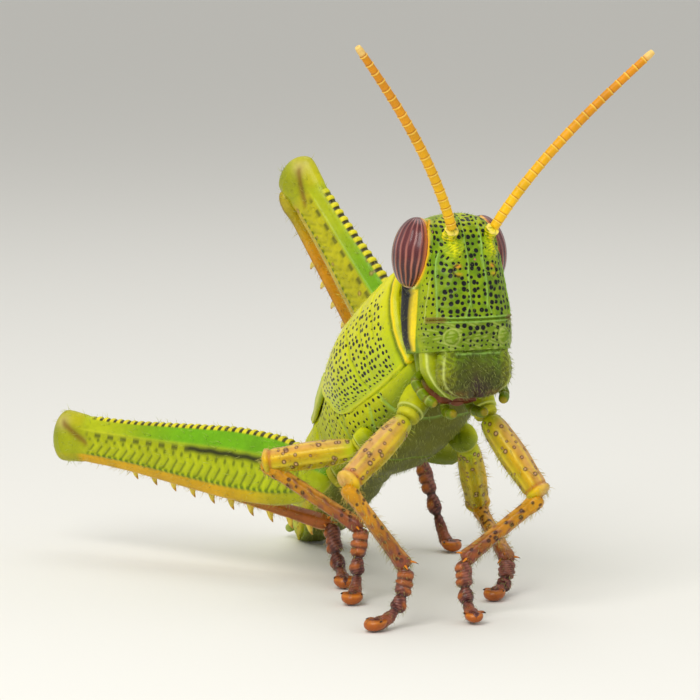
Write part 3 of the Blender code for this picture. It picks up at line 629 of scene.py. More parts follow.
def pronotum():
    """Stadium rings between an outer and an inner copy of the body skin."""
    rows, over, edge, inner = 280, 200, 5, 34
    turn = np.linspace(0.0, np.pi, edge + 2)[1:-1]
    across = np.concatenate([np.linspace(-1, 1, over), np.ones(edge), np.linspace(1, -1, inner),
                             -np.ones(edge)])
    side = np.concatenate([np.ones(over), np.cos(turn), -np.ones(inner), -np.cos(turn)])
    lip = np.concatenate([np.zeros(over), np.sin(turn), np.zeros(inner), np.sin(turn)])
    share = 0.5 - 0.5 * np.cos(np.pi * np.linspace(0.0, 1.0, rows))
    share = (0.35 * share + 0.65 * np.linspace(0.0, 1.0, rows))[:, None] * np.ones(len(across))
    up = (1.0 - np.abs(across)) ** 1.7
    low = lower_margin(share * PRONOTUM_LOBE)
    angle = low + (90.0 - low) * up - 3.0 * lip
    back = share * (PRONOTUM_LOBE + (PRONOTUM_TOP - PRONOTUM_LOBE) * up ** LOBE_SWEEP)
    length = back[-1]
    angle = np.where(across <= 0.0, angle, 180.0 - angle) + 0.0 * back
    flank = fold(angle)
    ends = np.minimum(back, length - back) / 0.22
    round_off = np.sqrt(np.clip(1.0 - (1.0 - np.clip(ends, 0.0, 1.0)) ** 2, 0.0, 1.0))
    out = side > 0.99
    collar = bell(back - 0.24, 0.17)
    behind = bell(back - 0.62, 0.13)
    furrow = 0.0 * back
    for at, lowest, depth in FURROWS:
        wave = at + 0.03 * np.cos(np.radians(flank * 2.0)) - 0.02 * (flank < 30.0)
        furrow = furrow + bell((share - wave) * length, 0.10) * step(flank, lowest, 10.0) * depth
    brim = bell((length - back) - 0.16, 0.12) + bell((flank - low) - 2.5, 2.0)
    lump = 0.02 * np.sin(flank * 0.35 + back * 1.9) * np.cos(back * 2.7 - flank * 0.11)
    height = out * (0.10 * collar - 0.07 * behind - 0.075 * furrow
                    + 0.05 * np.clip(brim, 0, 1) + lump)
    grid = skin(back, angle, -SADDLE_HALF + SADDLE_HALF * side * round_off)
    grid = grid + outward(grid) * (height * round_off)[..., None] * side[:, None]

    tint = coated(mix(LIME, paint(156, 184, 0), 0.6 * step(-flank, -4.0, 36.0)), (
        (BRIGHT, 0.75 * step(flank, 40.0, 60.0)),
        (paint(222, 228, 60), 0.5 * bell(flank - 90.0, 6.0)),
        # the raised hind and lower rims: partly their own paler colour, partly a painted highlight
        (BRIGHT, 0.35 * np.clip(brim, 0, 1)),
        (DEEP, 0.75 * behind),
        (YELLOW, np.clip(1.4 * bell(back - 0.28, 0.11), 0, 1)),
        (GREEN, 0.45 * np.clip(furrow, 0, 1))))
    pits = (1.0 - step(flank, 44.0, 16.0)) * step(back, 1.25, 0.5) * step(flank - low, 6.0, 5.0)
    pits = pits * step(length - back, 0.4, 0.3) * (1.0 - 0.8 * np.clip(furrow, 0, 1))
    return shape(grid, tint, out * pits, over // 4)


put("pronotum_plate", [pronotum()], shell, "pronotum")

# %% [markdown]
# ## Wing pads, neck and tail
#
# A nymph has no wings yet, only short pads lying on its back, with the veins already raised in
# them. The neck is a soft folded sleeve. Two short cerci stand beside the tip of the abdomen.

# %% Wing pads
def wing_pad(hand):
    """Flat rings from the saddle's edge to the free end, thinned to nothing at both ends."""
    rows, half = 70, 36
    turn = full_turn(2 * half)
    v = 0.5 - 0.5 * np.cos(turn) + 0.0 * np.arange(rows)[:, None]
    side = power(np.sin(turn), 0.6)
    flank = PAD_LOW + (PAD_TOP - PAD_LOW) * v
    start = rear_margin(flank) - 0.25
    stop = PAD_END - PAD_ROUND * (2.0 * v - 1.0) ** 4
    share = np.linspace(0.0, 1.0, rows)[:, None]
    back = start + (stop - start) * share
    taper = np.sqrt(np.clip(1.0 - np.clip((share - 0.8) / 0.2, 0, 1) ** 2, 0.0, 1.0))
    vein = 0.5 + 0.5 * np.cos(v * 10.0 * np.pi + share * 1.5)
    proud = PAD_HIGH + (PAD_PROUD - PAD_HIGH) * pad_bed(back)
    thick = PAD_THIN + (PAD_THICK - PAD_THIN) * pad_bed(back)
    off = proud - 0.5 * thick * (1.0 - side * taper) + 0.05 * vein ** 3 * (side > 0.5)
    angle = flank if hand > 0 else 180.0 - flank
    tint = mix(LIME, MINT, 0.6 * vein ** 3)
    tint = mix(tint, YELLOW, 0.5 * bell(v - 0.95, 0.1))
    return shape(skin(back, angle, off), tint)


for word, hand in SIDES:
    put("wing_pad_plate_" + word, [wing_pad(hand)], shell, "wing_pad_" + word)


# %% The neck
NECK_START, NECK_LENGTH = -1.7, 2.1


def neck():
    """Folded sleeve: body skin drawn in by a sine along its length."""
    share = np.linspace(0.0, 1.0, 50)[:, None]
    angle = -90.0 + 360.0 * np.arange(110) / 110 + 0.0 * share
    folds = np.sin(share * 22.0 + np.radians(angle) * 2.0)
    # painted light and shade: each fold lighter on its crest and darker in the hollow beside it
    tint = mix(GREEN, BRIGHT, 0.5 + 0.5 * folds)
    # painted shade: the sides of the neck made black, for the shadowed gap between the head and
    # the collar
    dark = step(35.0 - np.abs(fold(angle) - 12.0), 0.0, 16.0)       # sides of the neck
    tint = coated(tint, (
        (BLACK, 0.95 * dark),
        (OLIVE, 0.6 * step(-fold(angle), 38.0, 30.0))))
    back = NECK_START + NECK_LENGTH * share + 0.0 * angle
    return shape(skin(back, angle, -0.62 + 0.07 * folds), tint)


put("neck_sleeve", [neck()], hide, "neck")

# %% [markdown]
# ## The head
#
# The face is what one looks at first. It is an upright rounded capsule, flat in front and boxy
# behind where it meets the collar. Down its middle runs the frontal ridge between two pale
# keels; a pale keel edges each cheek; a seam crosses the face above the upper lip's plate. Black
# pits cover all but the smooth bands beside the eyes and the yellow and black cheek stripes.
#
# Each feature is a bell or a step in three plain head measures: out to the side, ahead, and
# height from the middle of the eyes. The same masks raise the surface and tint it.

# %% Head measures
HEAD_CENTRE = np.array([-0.42, -1.80, 19.05])
HEAD_PITCH, HEAD_ROLL = 8.3, -0.5
# height, half width, reach forward, reach back
HEAD_SIZES = np.array([
    (-5.25, 2.56, 2.38, 1.38), (-4.4, 2.68, 2.50, 1.65), (-3.4, 2.60, 2.58, 1.93),
    (-2.0, 2.36, 2.60, 2.17), (-0.5, 2.14, 2.42, 2.25), (0.5, 2.00, 2.20, 2.20)])
CROWN_START, CROWN_TOP, CROWN_POWER = 0.5, 1.98, 2.2
FRONT_SQUARE, SIDE_SQUARE, REAR_SQUARE = 0.80, 0.70, 0.26
EYE_CENTRE, EYE_SIZE = (2.08, -0.45, 0.0), (1.05, 1.45, 1.87)
EYE_LEAN, EYE_TILT = 8.0, 8.0            # degrees: foot set back, top leaning inward
SCAPE_BASE = np.array([1.08, 1.65, 0.60])
HEAD_RIGHT, HEAD_AHEAD, HEAD_UP = basis(HEAD_PITCH, 0.0, HEAD_ROLL)


def head_point(side, ahead, height):
    """Head measures to space."""
    side, ahead, height = np.broadcast_arrays(side, ahead, height)
    return reach_from(HEAD_CENTRE, (side, HEAD_RIGHT), (ahead, HEAD_AHEAD), (height, HEAD_UP))


def eye_axes(hand):
    """Out, deep and tall directions of an eye, its foot set back and its top leaning in."""
    lean = np.radians(EYE_LEAN)
    tall = HEAD_UP * np.cos(lean) + HEAD_AHEAD * np.sin(lean)
    deep = HEAD_AHEAD * np.cos(lean) - HEAD_UP * np.sin(lean)
    tilt = np.radians(EYE_TILT) * hand
    out = HEAD_RIGHT * np.cos(tilt) + tall * np.sin(tilt)
    return out, deep, tall * np.cos(tilt) - HEAD_RIGHT * np.sin(tilt)


def eye_depth(side, ahead, height):
    """1 on the eye's ellipsoid, more outside it, less inside."""
    lean = np.radians(EYE_LEAN)
    y, z = ahead - EYE_CENTRE[1], height - EYE_CENTRE[2]
    deep, tall = y * np.cos(lean) - z * np.sin(lean), z * np.cos(lean) + y * np.sin(lean)
    tilt, out = np.radians(EYE_TILT), np.abs(side) - EYE_CENTRE[0]
    out, tall = out * np.cos(tilt) + tall * np.sin(tilt), tall * np.cos(tilt) - out * np.sin(tilt)
    return np.sqrt((out / EYE_SIZE[0]) ** 2 + (deep / EYE_SIZE[1]) ** 2
                   + (tall / EYE_SIZE[2]) ** 2)


# %% The capsule
def capsule():
    """Level rings of two half superellipses; the crown closes as one turned on its side."""
    low, crown, foot, cols = 170, 60, 8, 360
    rise = np.sin(np.linspace(0.0, np.pi / 2, crown + 2)[1:-1])
    height = np.concatenate([np.full(foot, HEAD_SIZES[0, 0]),
                             np.linspace(HEAD_SIZES[0, 0], CROWN_START, low),
                             CROWN_START + (CROWN_TOP - CROWN_START) * rise])
    close = np.concatenate([np.linspace(0.05, 0.985, foot), np.ones(low),
                            (1.0 - rise ** CROWN_POWER) ** (1.0 / CROWN_POWER)])
    wide, front, rear = (through(height, HEAD_SIZES[:, 0], HEAD_SIZES[:, k]) * close
                         for k in (1, 2, 3))
    angle = full_turn(cols)
    c, s = np.cos(angle), np.sin(angle)
    before = s >= 0.0
    side = wide[:, None] * power(c, np.where(before, SIDE_SQUARE, REAR_SQUARE))
    ahead = np.where(before, front[:, None] * power(s, FRONT_SQUARE),
                     rear[:, None] * power(s, REAR_SQUARE))
    return side, ahead, height[:, None] + 0.0 * side


KEEL_HALF = 0.036               # half width of the pale keels


def lines(side, ahead, high):
    """Masks of the face's keels, seams and swellings, each between 0 and 1."""
    x = np.abs(side)
    facing = step(ahead, 1.0, 0.7)
    ridge = 0.46 + 0.05 * bell(high + 2.1, 0.9) - 0.04 * bell(high + 0.6, 0.5)
    masks = {}
    keel = bell(x - ridge, KEEL_HALF) * facing * step(high, -3.05, 0.5)
    keel = keel * (1.0 - step(high, 1.72, 0.25))
    flare = 0.46 + 0.30 * smooth((-2.6 - high) / 1.0)
    keel_foot = bell(x - flare, KEEL_HALF) * facing
    keel_foot = keel_foot * step(-high, 2.7, 0.3) * step(high, -3.62, 0.1)
    masks["ridge"] = np.maximum(keel, 0.7 * keel_foot)
    masks["trough"] = step(ridge - x, 0.06, 0.1) * facing * step(high, -2.9, 0.8)
    cheek = through(high, (-3.65, -0.9, 0.2), (2.10, 1.88, 1.62))
    masks["cheek"] = (bell(x - cheek, KEEL_HALF) * step(ahead, 0.9, 0.4) * step(high, -3.7, 0.1)
                      * (1.0 - step(high, -0.2, 0.5)))
    masks["gena"] = (bell(ahead - 1.30 - 0.06 * (high + 2.0), 0.035) * (x > 1.5)
                     * step(high, -3.75, 0.1) * (1.0 - step(high, -1.5, 0.5)))
    seam = high + 3.70 - 0.015 * side ** 2
    reach = step(ahead, 1.25, 0.2)
    masks["seam"] = bell(seam, 0.045) * reach
    masks["seam_lip"] = (bell(seam - 0.11, 0.045) + bell(seam + 0.11, 0.04)) * reach
    masks["clypeus"] = bell(high + 4.5, 0.5) * bell(side, 1.25) * facing
    lobe = np.hypot(x - 1.50, (high + 4.55) * 0.9)
    masks["lobe"] = (1.0 - step(lobe, 0.30, 0.24)) * facing
    masks["lobe_rim"] = bell(lobe - 0.38, 0.05) * facing
    masks["socket"] = bell(np.hypot(x - 1.08, (high - 0.34) * 0.8) - 0.56, 0.09) * facing
    masks["socket_swell"] = bell(x - 1.05, 0.34) * bell(high, 0.50) * facing
    masks["amber"] = bell(np.hypot(x - 0.98, (high + 0.92) * 1.3), 0.15) * facing
    masks["amber_low"] = bell(x - 1.00, 0.19) * bell(high + 1.34, 0.10) * facing
    bow = np.hypot(x - 0.95, high + 1.16)
    masks["amber_edge"] = bell(bow - 0.30, 0.045) * (x > 0.95) * facing
    eye = eye_depth(side, ahead, high)
    masks["orbit"] = bell(eye - 1.07, 0.045) * (x > 1.0)
    masks["orbit_groove"] = bell(eye - 1.20, 0.05) * (x > 1.0)
    masks["front_of_eye"] = step(ahead, 0.2, 0.5)
    flat = (x > 1.6) * step(high, -5.15, 0.15)
    yellow = through(high, (-5.1, -3.7, -2.0), (-0.02, 0.06, -0.02))
    half = through(high, (-5.15, -4.3, -3.0, -1.95), (0.16, 0.40, 0.47, 0.40))
    masks["yellow"] = (1.0 - step(np.abs(ahead - yellow), half, 0.10)) * flat
    masks["yellow"] = masks["yellow"] * step(-high, 1.95, 0.2)
    dark = step(yellow - half - 0.06 - ahead, 0.0, 0.09)
    masks["black"] = dark * (x > 1.2) * step(-high, 1.2, 0.2) * step(high, -5.05, 0.3)
    return masks


# %% Relief and paint of the face
# height in mm of each mask; and the masks where no pits grow
HEAD_RELIEF = {"ridge": 0.085, "trough": -0.05, "cheek": 0.075, "gena": 0.05, "seam": -0.085,
               "seam_lip": 0.045, "clypeus": 0.10, "lobe": 0.16, "lobe_rim": -0.04,
               "socket": 0.07, "amber": 0.07, "amber_low": 0.06, "amber_edge": -0.06,
               "orbit": 0.09, "orbit_groove": -0.06, "yellow": 0.03, "black": -0.03}
PITLESS = ("ridge", "cheek", "gena", "seam_lip", "seam", "yellow", "black", "orbit", "lobe",
           "lobe_rim", "amber", "amber_low")


def head_capsule():
    """Capsule raised by its keels and sunk at its seams."""
    side, ahead, high = capsule()
    m = lines(side, ahead, high)
    wrinkle = np.sin(side * 17.0 + 3.0 * np.sin(high * 9.0)) * np.sin(high * 23.0 + side * 5.0)
    mottle = np.sin(side * 5.3 + 2.0 * np.sin(high * 3.1)) * np.sin(high * 4.3 + side * 2.0)
    mottle = step(mottle, 0.1, 0.8)
    crinkle = np.sin(side * 9.0 + 4.0 * np.sin(high * 7.0)) * np.sin(high * 15.0 - side * 4.0)
    crinkle = step(crinkle, 0.25, 0.5)
    band = step(np.abs(side), 2.08, 0.25) * step(ahead, 0.55, 0.3) * step(-high, -1.2, 0.8)
    lower = step(-high, 3.8, 0.2) * step(ahead, 1.0, 0.6)
    crease = bell(high + 4.02 + 0.75 * np.abs(side), 0.05) * (np.abs(side) < 1.1) * lower
    swell = m["socket_swell"]
    keels = np.clip(m["ridge"] + 0.8 * m["cheek"] + 0.8 * m["seam_lip"], 0, 1)
    corner = np.clip(m["seam"] + m["seam_lip"], 0, 1) * step(np.abs(side), 1.75, 0.3)
    relief = sum(height * m[name] for name, height in HEAD_RELIEF.items())
    relief = relief + 0.20 * swell * (1.0 + 0.35 * wrinkle)
    relief = relief + 0.025 * mottle * step(ahead, 0.9, 0.4)
    tint = coated(mix(FACE, GREEN, 0.4 * step(-high, 1.5, 2.5)), (
        (LIME, 0.5 * step(high, 0.9, 0.8)),
        (paint(84, 122, 0), 0.6 * mottle),
        (LIME, 0.3 * band),
        (LIME, 0.7 * swell),
        # painted light and shade: the wrinkles of the swellings lighter on their crests, darker in
        # their hollows
        (BRIGHT, 0.6 * swell * (wrinkle > 0.1)),
        (DEEP, 0.45 * swell * step(-wrinkle, 0.3, 0.3)),
        (paint(104, 130, 8), 0.75 * lower),
        (PALE, 0.26 * lower * crinkle),
        (paint(70, 62, 20), 0.6 * crease),
        (MINT, 0.75 * keels),
        (PALE, 0.55 * m["gena"]),
        (DEEP, 0.6 * m["seam"]),
        (BROWN, 0.8 * corner),
        (PALE, 0.38 * m["lobe_rim"]),
        (AMBER, m["amber"]),
        (GOLD, 0.6 * m["amber_low"]),
        (UMBER, 0.9 * m["amber_edge"]),
        (mix(PALE, GOLD, m["front_of_eye"]), np.clip(1.2 * m["orbit"], 0, 1)),
        (YELLOW, m["yellow"]),
        (BLACK, m["black"])))
    smooth_parts = sum(m[name] for name in PITLESS) + 1.4 * swell + 0.3 * band
    pits = step(ahead, -0.2, 0.6) + 0.45 * step(high, 0.8, 0.4)
    pits = pits * (0.30 + 0.70 * step(ahead, 0.75, 0.5)) * (1.0 - 0.4 * step(-high, 4.45, 0.3))
    pits = np.clip(pits, 0, 1) * (1.0 - np.clip(smooth_parts * 1.2, 0, 1))
    grid = raised(head_point(side, ahead, high), relief)
    return shape(grid, tint, pits, middle=90)


put("head_capsule", [head_capsule()], face, "head")


# %% [markdown]
# ## Eyes
#
# Each eye is a tall ellipsoid set against the side of the head. Its facets are far too small to
# see; what shows is the banding, dark maroon stripes that run from pole to pole with thin pink
# ones between, and an amber rim in front. The stripes are bands of the angle round the eye's
# upright axis, so they draw together at its poles exactly as on the animal. Three simple eyes,
# no bigger than pits, sit between the feelers.

# %% Compound eyes
EYE_STRIPES = 20                # pink lines right round, about half of them in view


def eye_surface(hand):
    """Ellipsoid by height angle and turn; ripples of the turn give the stripes."""
    tall, turn, *spread = ball(90, 180)
    centre = head_point(hand * EYE_CENTRE[0], EYE_CENTRE[1], EYE_CENTRE[2])
    grid = reach_from(centre, *((size * part, way) for size, part, way
                                in zip(EYE_SIZE, spread, eye_axes(hand))))
    outer = turn if hand > 0 else np.pi - turn          # 0 outward, 90 degrees ahead
    outer = np.arctan2(np.sin(outer), np.cos(outer))
    waver = 0.025 * np.sin(4.0 * tall + 2.0 * outer) + 0.010 * np.sin(11.0 * tall)
    phase = EYE_STRIPES * (outer + waver)
    line = np.clip(np.cos(phase), 0, 1) ** 1.6
    # painted highlight: a lighter patch high on the outer side of the eye
    painted_highlight = bell(tall - 0.35, 0.6) * bell(outer - 0.5, 1.2)
    tint = coated(mix(MAROON, paint(108, 50, 54), 0.7 * painted_highlight), (
        # painted shade: the lower half of the eye made darker
        (paint(34, 12, 14), 0.7 * step(-tall, 0.35, 1.0)),
        (ROSE, 0.9 * line * (0.75 + 0.25 * np.sin(5.0 * tall + 3.0 * outer))),
        (paint(190, 112, 56), 0.5 * line * step(-tall, 0.2, 1.2))))
    rim = step(outer, 1.44, 0.22) * (1.0 - step(outer, 2.6, 0.3))
    tint = coated(tint, (
        (paint(206, 118, 48), 0.7 * rim * (1.0 - 0.5 * line)),
        (GOLD, 0.85 * step(outer, 1.66, 0.10) * (1.0 - step(outer, 2.5, 0.3))),
        (paint(228, 190, 170), 0.85 * step(-tall, 1.26, 0.16))))
    return shape(raised(grid, 0.012 * np.cos(phase) * np.cos(tall)), tint)


eye_gloss = cuticle("banded eye", "eye", rough=0.26, coat=0.45, uneven=0.12, fine=14000.0,
                   relief=0.012)
for word, hand in SIDES:
    put("eye_globe_" + word, [eye_surface(hand)], eye_gloss, "eye_" + word)


# %% Simple eyes
def bead(centre, out, radius, flat, tint):
    """Small flattened ball: radius across, flat times that along its out direction."""
    out = np.asarray(out, float) / np.linalg.norm(out)
    one = np.cross(out, (0.2, 0.4, 0.9))
    one /= np.linalg.norm(one)
    _, _, a, b, c = ball(14, 22)
    axes = ((radius * a, one), (radius * b, np.cross(out, one)), (radius * flat * c, out))
    return shape(reach_from(centre, *axes), tint)


def ocelli():
    """One bead low between the keels and one beside each feeler, each in a dark ring."""
    beads = [bead(head_point(0.0, 2.36, -0.60), HEAD_AHEAD, 0.10, 0.6, paint(186, 110, 96)),
             bead(head_point(0.0, 2.31, -0.60), HEAD_AHEAD, 0.17, 0.45, UMBER)]
    for _, hand in SIDES:
        out = 0.7 * hand * HEAD_RIGHT + 0.7 * HEAD_AHEAD
        beads += [bead(head_point(1.62 * hand, 1.14, 0.95), out, 0.15, 0.6, paint(150, 92, 104)),
                  bead(head_point(1.58 * hand, 1.10, 0.95), out, 0.20, 0.5, UMBER)]
    return beads


put("simple_eyes", ocelli(), eye_gloss)

# %% [markdown]
# ## Mouthparts
#
# Below the face hangs the upper lip, a broad hairy shield with a notch in its lower edge. The
# jaws show beside it as smooth green lobes, the lower lip closes the mouth from behind, and two
# pairs of jointed palps reach round from the back. The shield is a grid of level rings like the
# head; palps are tubes with a narrow waist at each joint.

# %% Upper lip
LIP_TOP, LIP_FOOT, LIP_HALF = -5.2, -7.74, 2.14
LIP_REAR, LIP_SQUARE = 1.16, 0.62


def upper_lip():
    """Level rings, rounded in plan, narrowing downward as a quarter ellipse, notched below."""
    rows, cols = 100, 150
    drop = np.linspace(0.0, 1.0, rows)[:, None]
    angle = full_turn(cols)[None, :]
    narrow = np.where(drop < 0.45, 0.90 + 0.10 * np.sin(np.pi * drop / 0.9),
                      np.sqrt(np.clip(1.0 - ((drop - 0.45) / 0.565) ** 2.6, 0.0, 1.0)))
    x = power(np.cos(angle), LIP_SQUARE) * LIP_HALF * narrow
    front = 2.30 + 0.07 * np.sin(np.pi * np.clip(drop * 1.1, 0, 1)) - 0.46 * drop ** 2.2
    bulge = 0.5 * (front - LIP_REAR) * np.sqrt(np.clip(narrow, 0.02, 1.0))
    y = 0.5 * (front + LIP_REAR) + power(np.sin(angle), LIP_SQUARE) * bulge
    y = y - 0.14 * (x / LIP_HALF) ** 2
    z = LIP_TOP + (LIP_FOOT - LIP_TOP) * drop + 0.24 * bell(x, 0.20) * step(drop, 0.72, 0.3)
    out, inside = np.abs(x), step(0.75 - drop, 0.0, 0.3)
    notch = bell(x, 0.10) * step(drop, 0.80, 0.2)
    lower_fold = bell(drop - 0.16, 0.03) * (out < 1.5)
    upper_fold = bell(drop - 0.10, 0.025) * (out < 1.3)
    crease = bell(out - 1.15 - 0.5 * drop, 0.10) * inside
    cells = np.sin(x * 11.0 + 2.0 * np.sin(z * 6.0)) * np.sin(z * 12.0 + 1.5 * np.sin(x * 5.0))
    edge = bell(np.abs(np.cos(angle)) - 0.86, 0.04) * (np.sin(angle) > 0.0)
    wander = 0.12 * np.sin(x * 2.3 + 1.0) + 0.05 * np.sin(x * 7.0)
    relief = (0.05 * upper_fold - 0.06 * lower_fold - 0.10 * notch - 0.04 * crease
              + 0.030 * cells * step(np.sin(angle), 0.0, 0.5))
    tint = coated(mix(paint(96, 124, 4), paint(76, 84, 8), step(drop + wander, 0.25, 0.5)), (
        (LIME, 0.22 * step(out, 1.35, 0.5) * step(0.8 - drop, 0.0, 0.3)),
        (paint(58, 34, 34), 0.95 * bell(x + 0.12, 0.80) * step(drop + wander, 0.66, 0.36)),
        (paint(120, 80, 24), 0.5 * bell(drop - 0.90, 0.06) * step(out, 0.6, 0.4)),
        (MINT, 0.5 * upper_fold),
        (paint(58, 58, 6), 0.55 * step(-cells, 0.1, 0.6)),
        (PALE, 0.6 * edge * step(drop, 0.12, 0.1)),
        (UMBER, 0.9 * notch)))
    pits = 0.25 * (1.0 - step(drop, 0.5, 0.3)) + 0.0 * x
    return shape(raised(head_point(x, y, z), relief), tint, pits)


lip = cuticle("mouth cuticle", "mouth", rough=0.38, spacing=0.34, size=0.25, uneven=0.3,
              fine=5200.0, relief=0.05)
plate = cuticle("lip shield", "green_head", rough=0.38, spacing=0.34, size=0.22, uneven=0.45,
                patch=900.0, fine=5200.0, relief=0.06)
put("upper_lip", [upper_lip()], plate, "labrum")


# %% Jaws and lower lip
JAW = ((-5.15, 0.04, 2.50, -0.10, 1.15), (-6.0, 0.04, 2.48, -0.10, 1.12),
       (-6.9, 0.04, 2.08, -0.10, 1.10), (-7.55, 0.10, 1.40, 0.05, 0.95))
CHIN = ((-5.15, -2.25, 2.25, -1.22, -0.16), (-6.2, -2.15, 2.15, -1.15, -0.16),
        (-7.2, -1.75, 1.75, -0.95, -0.16), (-7.9, -1.1, 1.1, -0.75, -0.25))


def level_block(levels, hand, colours, rim, grooves=0.0):
    """Rounded block through levels of (height, inner, outer, back, front)."""
    rows, cap, cols, rounded = 56, 14, 90, 0.22
    levels = np.array(levels)[::-1]
    end = np.sin(np.linspace(0.0, np.pi / 2, cap))[:, None]
    height = np.linspace(levels[0, 0], levels[-1, 0], rows)
    z = np.concatenate([np.full(cap, height[0]), height, np.full(cap, height[-1])])[:, None]
    close = np.concatenate([end, np.ones((rows, 1)), end[::-1]]) * 0.985 + 0.015
    z = z + rounded * (close - 1.0) * np.where(np.arange(len(z)) < cap, 1.0, -1.0)[:, None]
    inner, outer, back, front = (through(z[:, 0], levels[:, 0], levels[:, k])[:, None]
                                 for k in (1, 2, 3, 4))
    angle = full_turn(cols)[None, :]
    x = 0.5 * (inner + outer) + 0.5 * (outer - inner) * power(np.cos(angle), 0.65) * close
    y = 0.5 * (back + front) + 0.5 * (front - back) * power(np.sin(angle), 0.65) * close
    z = z + 0.0 * x
    share = (z - levels[0, 0]) / (levels[-1, 0] - levels[0, 0])
    edge = bell(angle - 0.60, 0.13) * step(x, 0.3, 0.4) * rim
    groove = np.abs(np.sin(x * 4.0)) ** 12 * grooves
    tint = mix(mix(*colours, step(-share, -0.45, 0.6)), PALE, 0.85 * edge)
    return shape(raised(head_point(hand * x, y, z), 0.05 * edge - 0.05 * groove), tint)


for word, hand in SIDES:
    jaw = level_block(JAW, hand, (mix(LIME, GREEN, 0.6), GREEN), rim=1.0)
    put("jaw_" + word, [jaw], lip, "mandible_" + word)
put("lower_lip", [level_block(CHIN, 1, (GREEN, BROWN), rim=0.0, grooves=1.0)], lip, "labium")


# %% [markdown]
# ## Tubes
#
# Feelers, palps and legs are all tubes on a path. A path goes through a few joints; the section
# has a width and a depth that change along it, and one direction, the keel side, is kept turned
# the same way all along. Both ends are rounded off as a quarter circle.

# %% The tube
def route(joints, share):
    """Smooth line through joints, read at shares of its length."""
    joints = np.asarray(joints, float)
    length = np.linalg.norm(np.diff(joints, axis=0), axis=1)
    at = np.concatenate([[0.0], length.cumsum()]) / length.sum()
    return np.stack([through(share, at, joints[:, k]) for k in range(3)], axis=-1)


def unit(v):
    """Vectors scaled to length one."""
    v = np.asarray(v, float)
    return v / np.maximum(np.linalg.norm(v, axis=-1, keepdims=True), 1e-9)


def tube_frame(joints, keel, rows, ends):
    """Shares, path, across and deep directions by row, and the rounding of both ends."""
    even = np.linspace(0.0, 1.0, rows)
    share = 0.65 * even + 0.35 * (0.5 - 0.5 * np.cos(np.pi * even))
    path = route(joints, share)
    run = unit(np.gradient(route(joints, np.clip(share, 0.001, 0.999)), axis=0))
    keel = np.asarray(keel, float)
    deep = unit(keel - run * (run @ keel)[:, None])
    near = np.clip(np.minimum(share / ends[0], (1.0 - share) / ends[1]), 0.0, 1.0)
    close = np.sqrt(np.clip(1.0 - (1.0 - near) ** 2, 0.0009, 1.0))
    return share[:, None], path, np.cross(run, deep), deep, close[:, None]


def tube(joints, across, deep, keel=(0.31, 0.23, 0.92), rows=120, cols=40, square=1.0,
         ends=(0.04, 0.04)):
    """Section points: path + across x width x cos + keel side x depth x sin."""
    share, path, side, up, close = tube_frame(joints, keel, rows, ends)
    turn = full_turn(cols)[None, :] + 0.0 * share
    wide, tall = across(share) * close, deep(share) * close
    grid = reach_from(path[:, None], (wide * power(np.cos(turn), square), side[:, None]),
                      (tall * power(np.sin(turn), square), up[:, None]))
    return grid, share + 0.0 * turn, turn


def profile(stations):
    """Curve through (share, size) stations."""
    xs, ys = zip(*stations)
    return lambda share: through(share, xs, ys)


# %% Palps
def palp(joints, hand):
    """Tube with waists; pale rings mark the joints."""
    points = [head_point(hand * x, y, z) for x, y, z in joints]
    radius = profile(PALP_SIZES)
    grid, share, _ = tube(points, radius, radius, rows=110, cols=32, ends=(0.05, 0.09))
    waist, ring = (sum(bell(share - at - past, wide) for at in PALP_WAISTS)
                   for past, wide in ((0.0, 0.022), (0.035, 0.02)))
    tint = coated(mix(mix(GREEN, DEEP, 0.45), PALE, 0.35 * ring), (
        (BROWN, 0.35 * waist),
        (AMBER, 0.25 * step(share, 0.96, 0.05))))
    return shape(raised(grid, -0.05 * waist), tint, 0.3)


LONG_PALP = ((1.75, -0.6, -6.2), (2.45, -0.35, -6.75), (2.35, 0.35, -7.5), (1.95, 0.95, -8.0))
SHORT_PALP = ((0.66, -0.53, -7.1), (0.72, -0.53, -8.15), (0.92, 0.30, -8.5), (0.9, 0.9, -8.5))
PALP_SIZES = ((0.0, 0.20), (0.15, 0.25), (0.5, 0.26), (0.85, 0.28), (1.0, 0.24))
PALP_WAISTS = (0.30, 0.55, 0.78)
for word, hand in SIDES:
    put("long_palp_" + word, [palp(LONG_PALP, hand)], lip, "maxillary_palp_" + word)
    put("short_palp_" + word, [palp(SHORT_PALP, hand)], lip, "labial_palp_" + word)

# %% [markdown]
# ## Feelers
#
# Each feeler rises from a lumpy socket piece and is a whip of some two dozen little cylinders.
# Every one of them flares to a pale raised rim at its far end, which is what gives the whip its
# beaded edge. The rims are bells of the share of the length, one to a segment.

# %% The whips
FEELER_SEGMENTS = 22
# how far the tip lies out, ahead and up from the foot of the scape; and how much it bows
FEELERS = {"right": (6.55, 4.0, 9.59, 0.50), "left": (8.34, 4.0, 9.17, 0.50)}
feeler_finish = cuticle("feeler", "feeler", rough=0.42, coat=0.1, uneven=0.22, fine=7000.0,
                        relief=0.03)


def socket(hand):
    """Foot of a feeler on the face, and the way its first joint points."""
    return SCAPE_BASE * (hand, 1.0, 1.0), np.array([hand * 0.12, 0.74, 0.42])


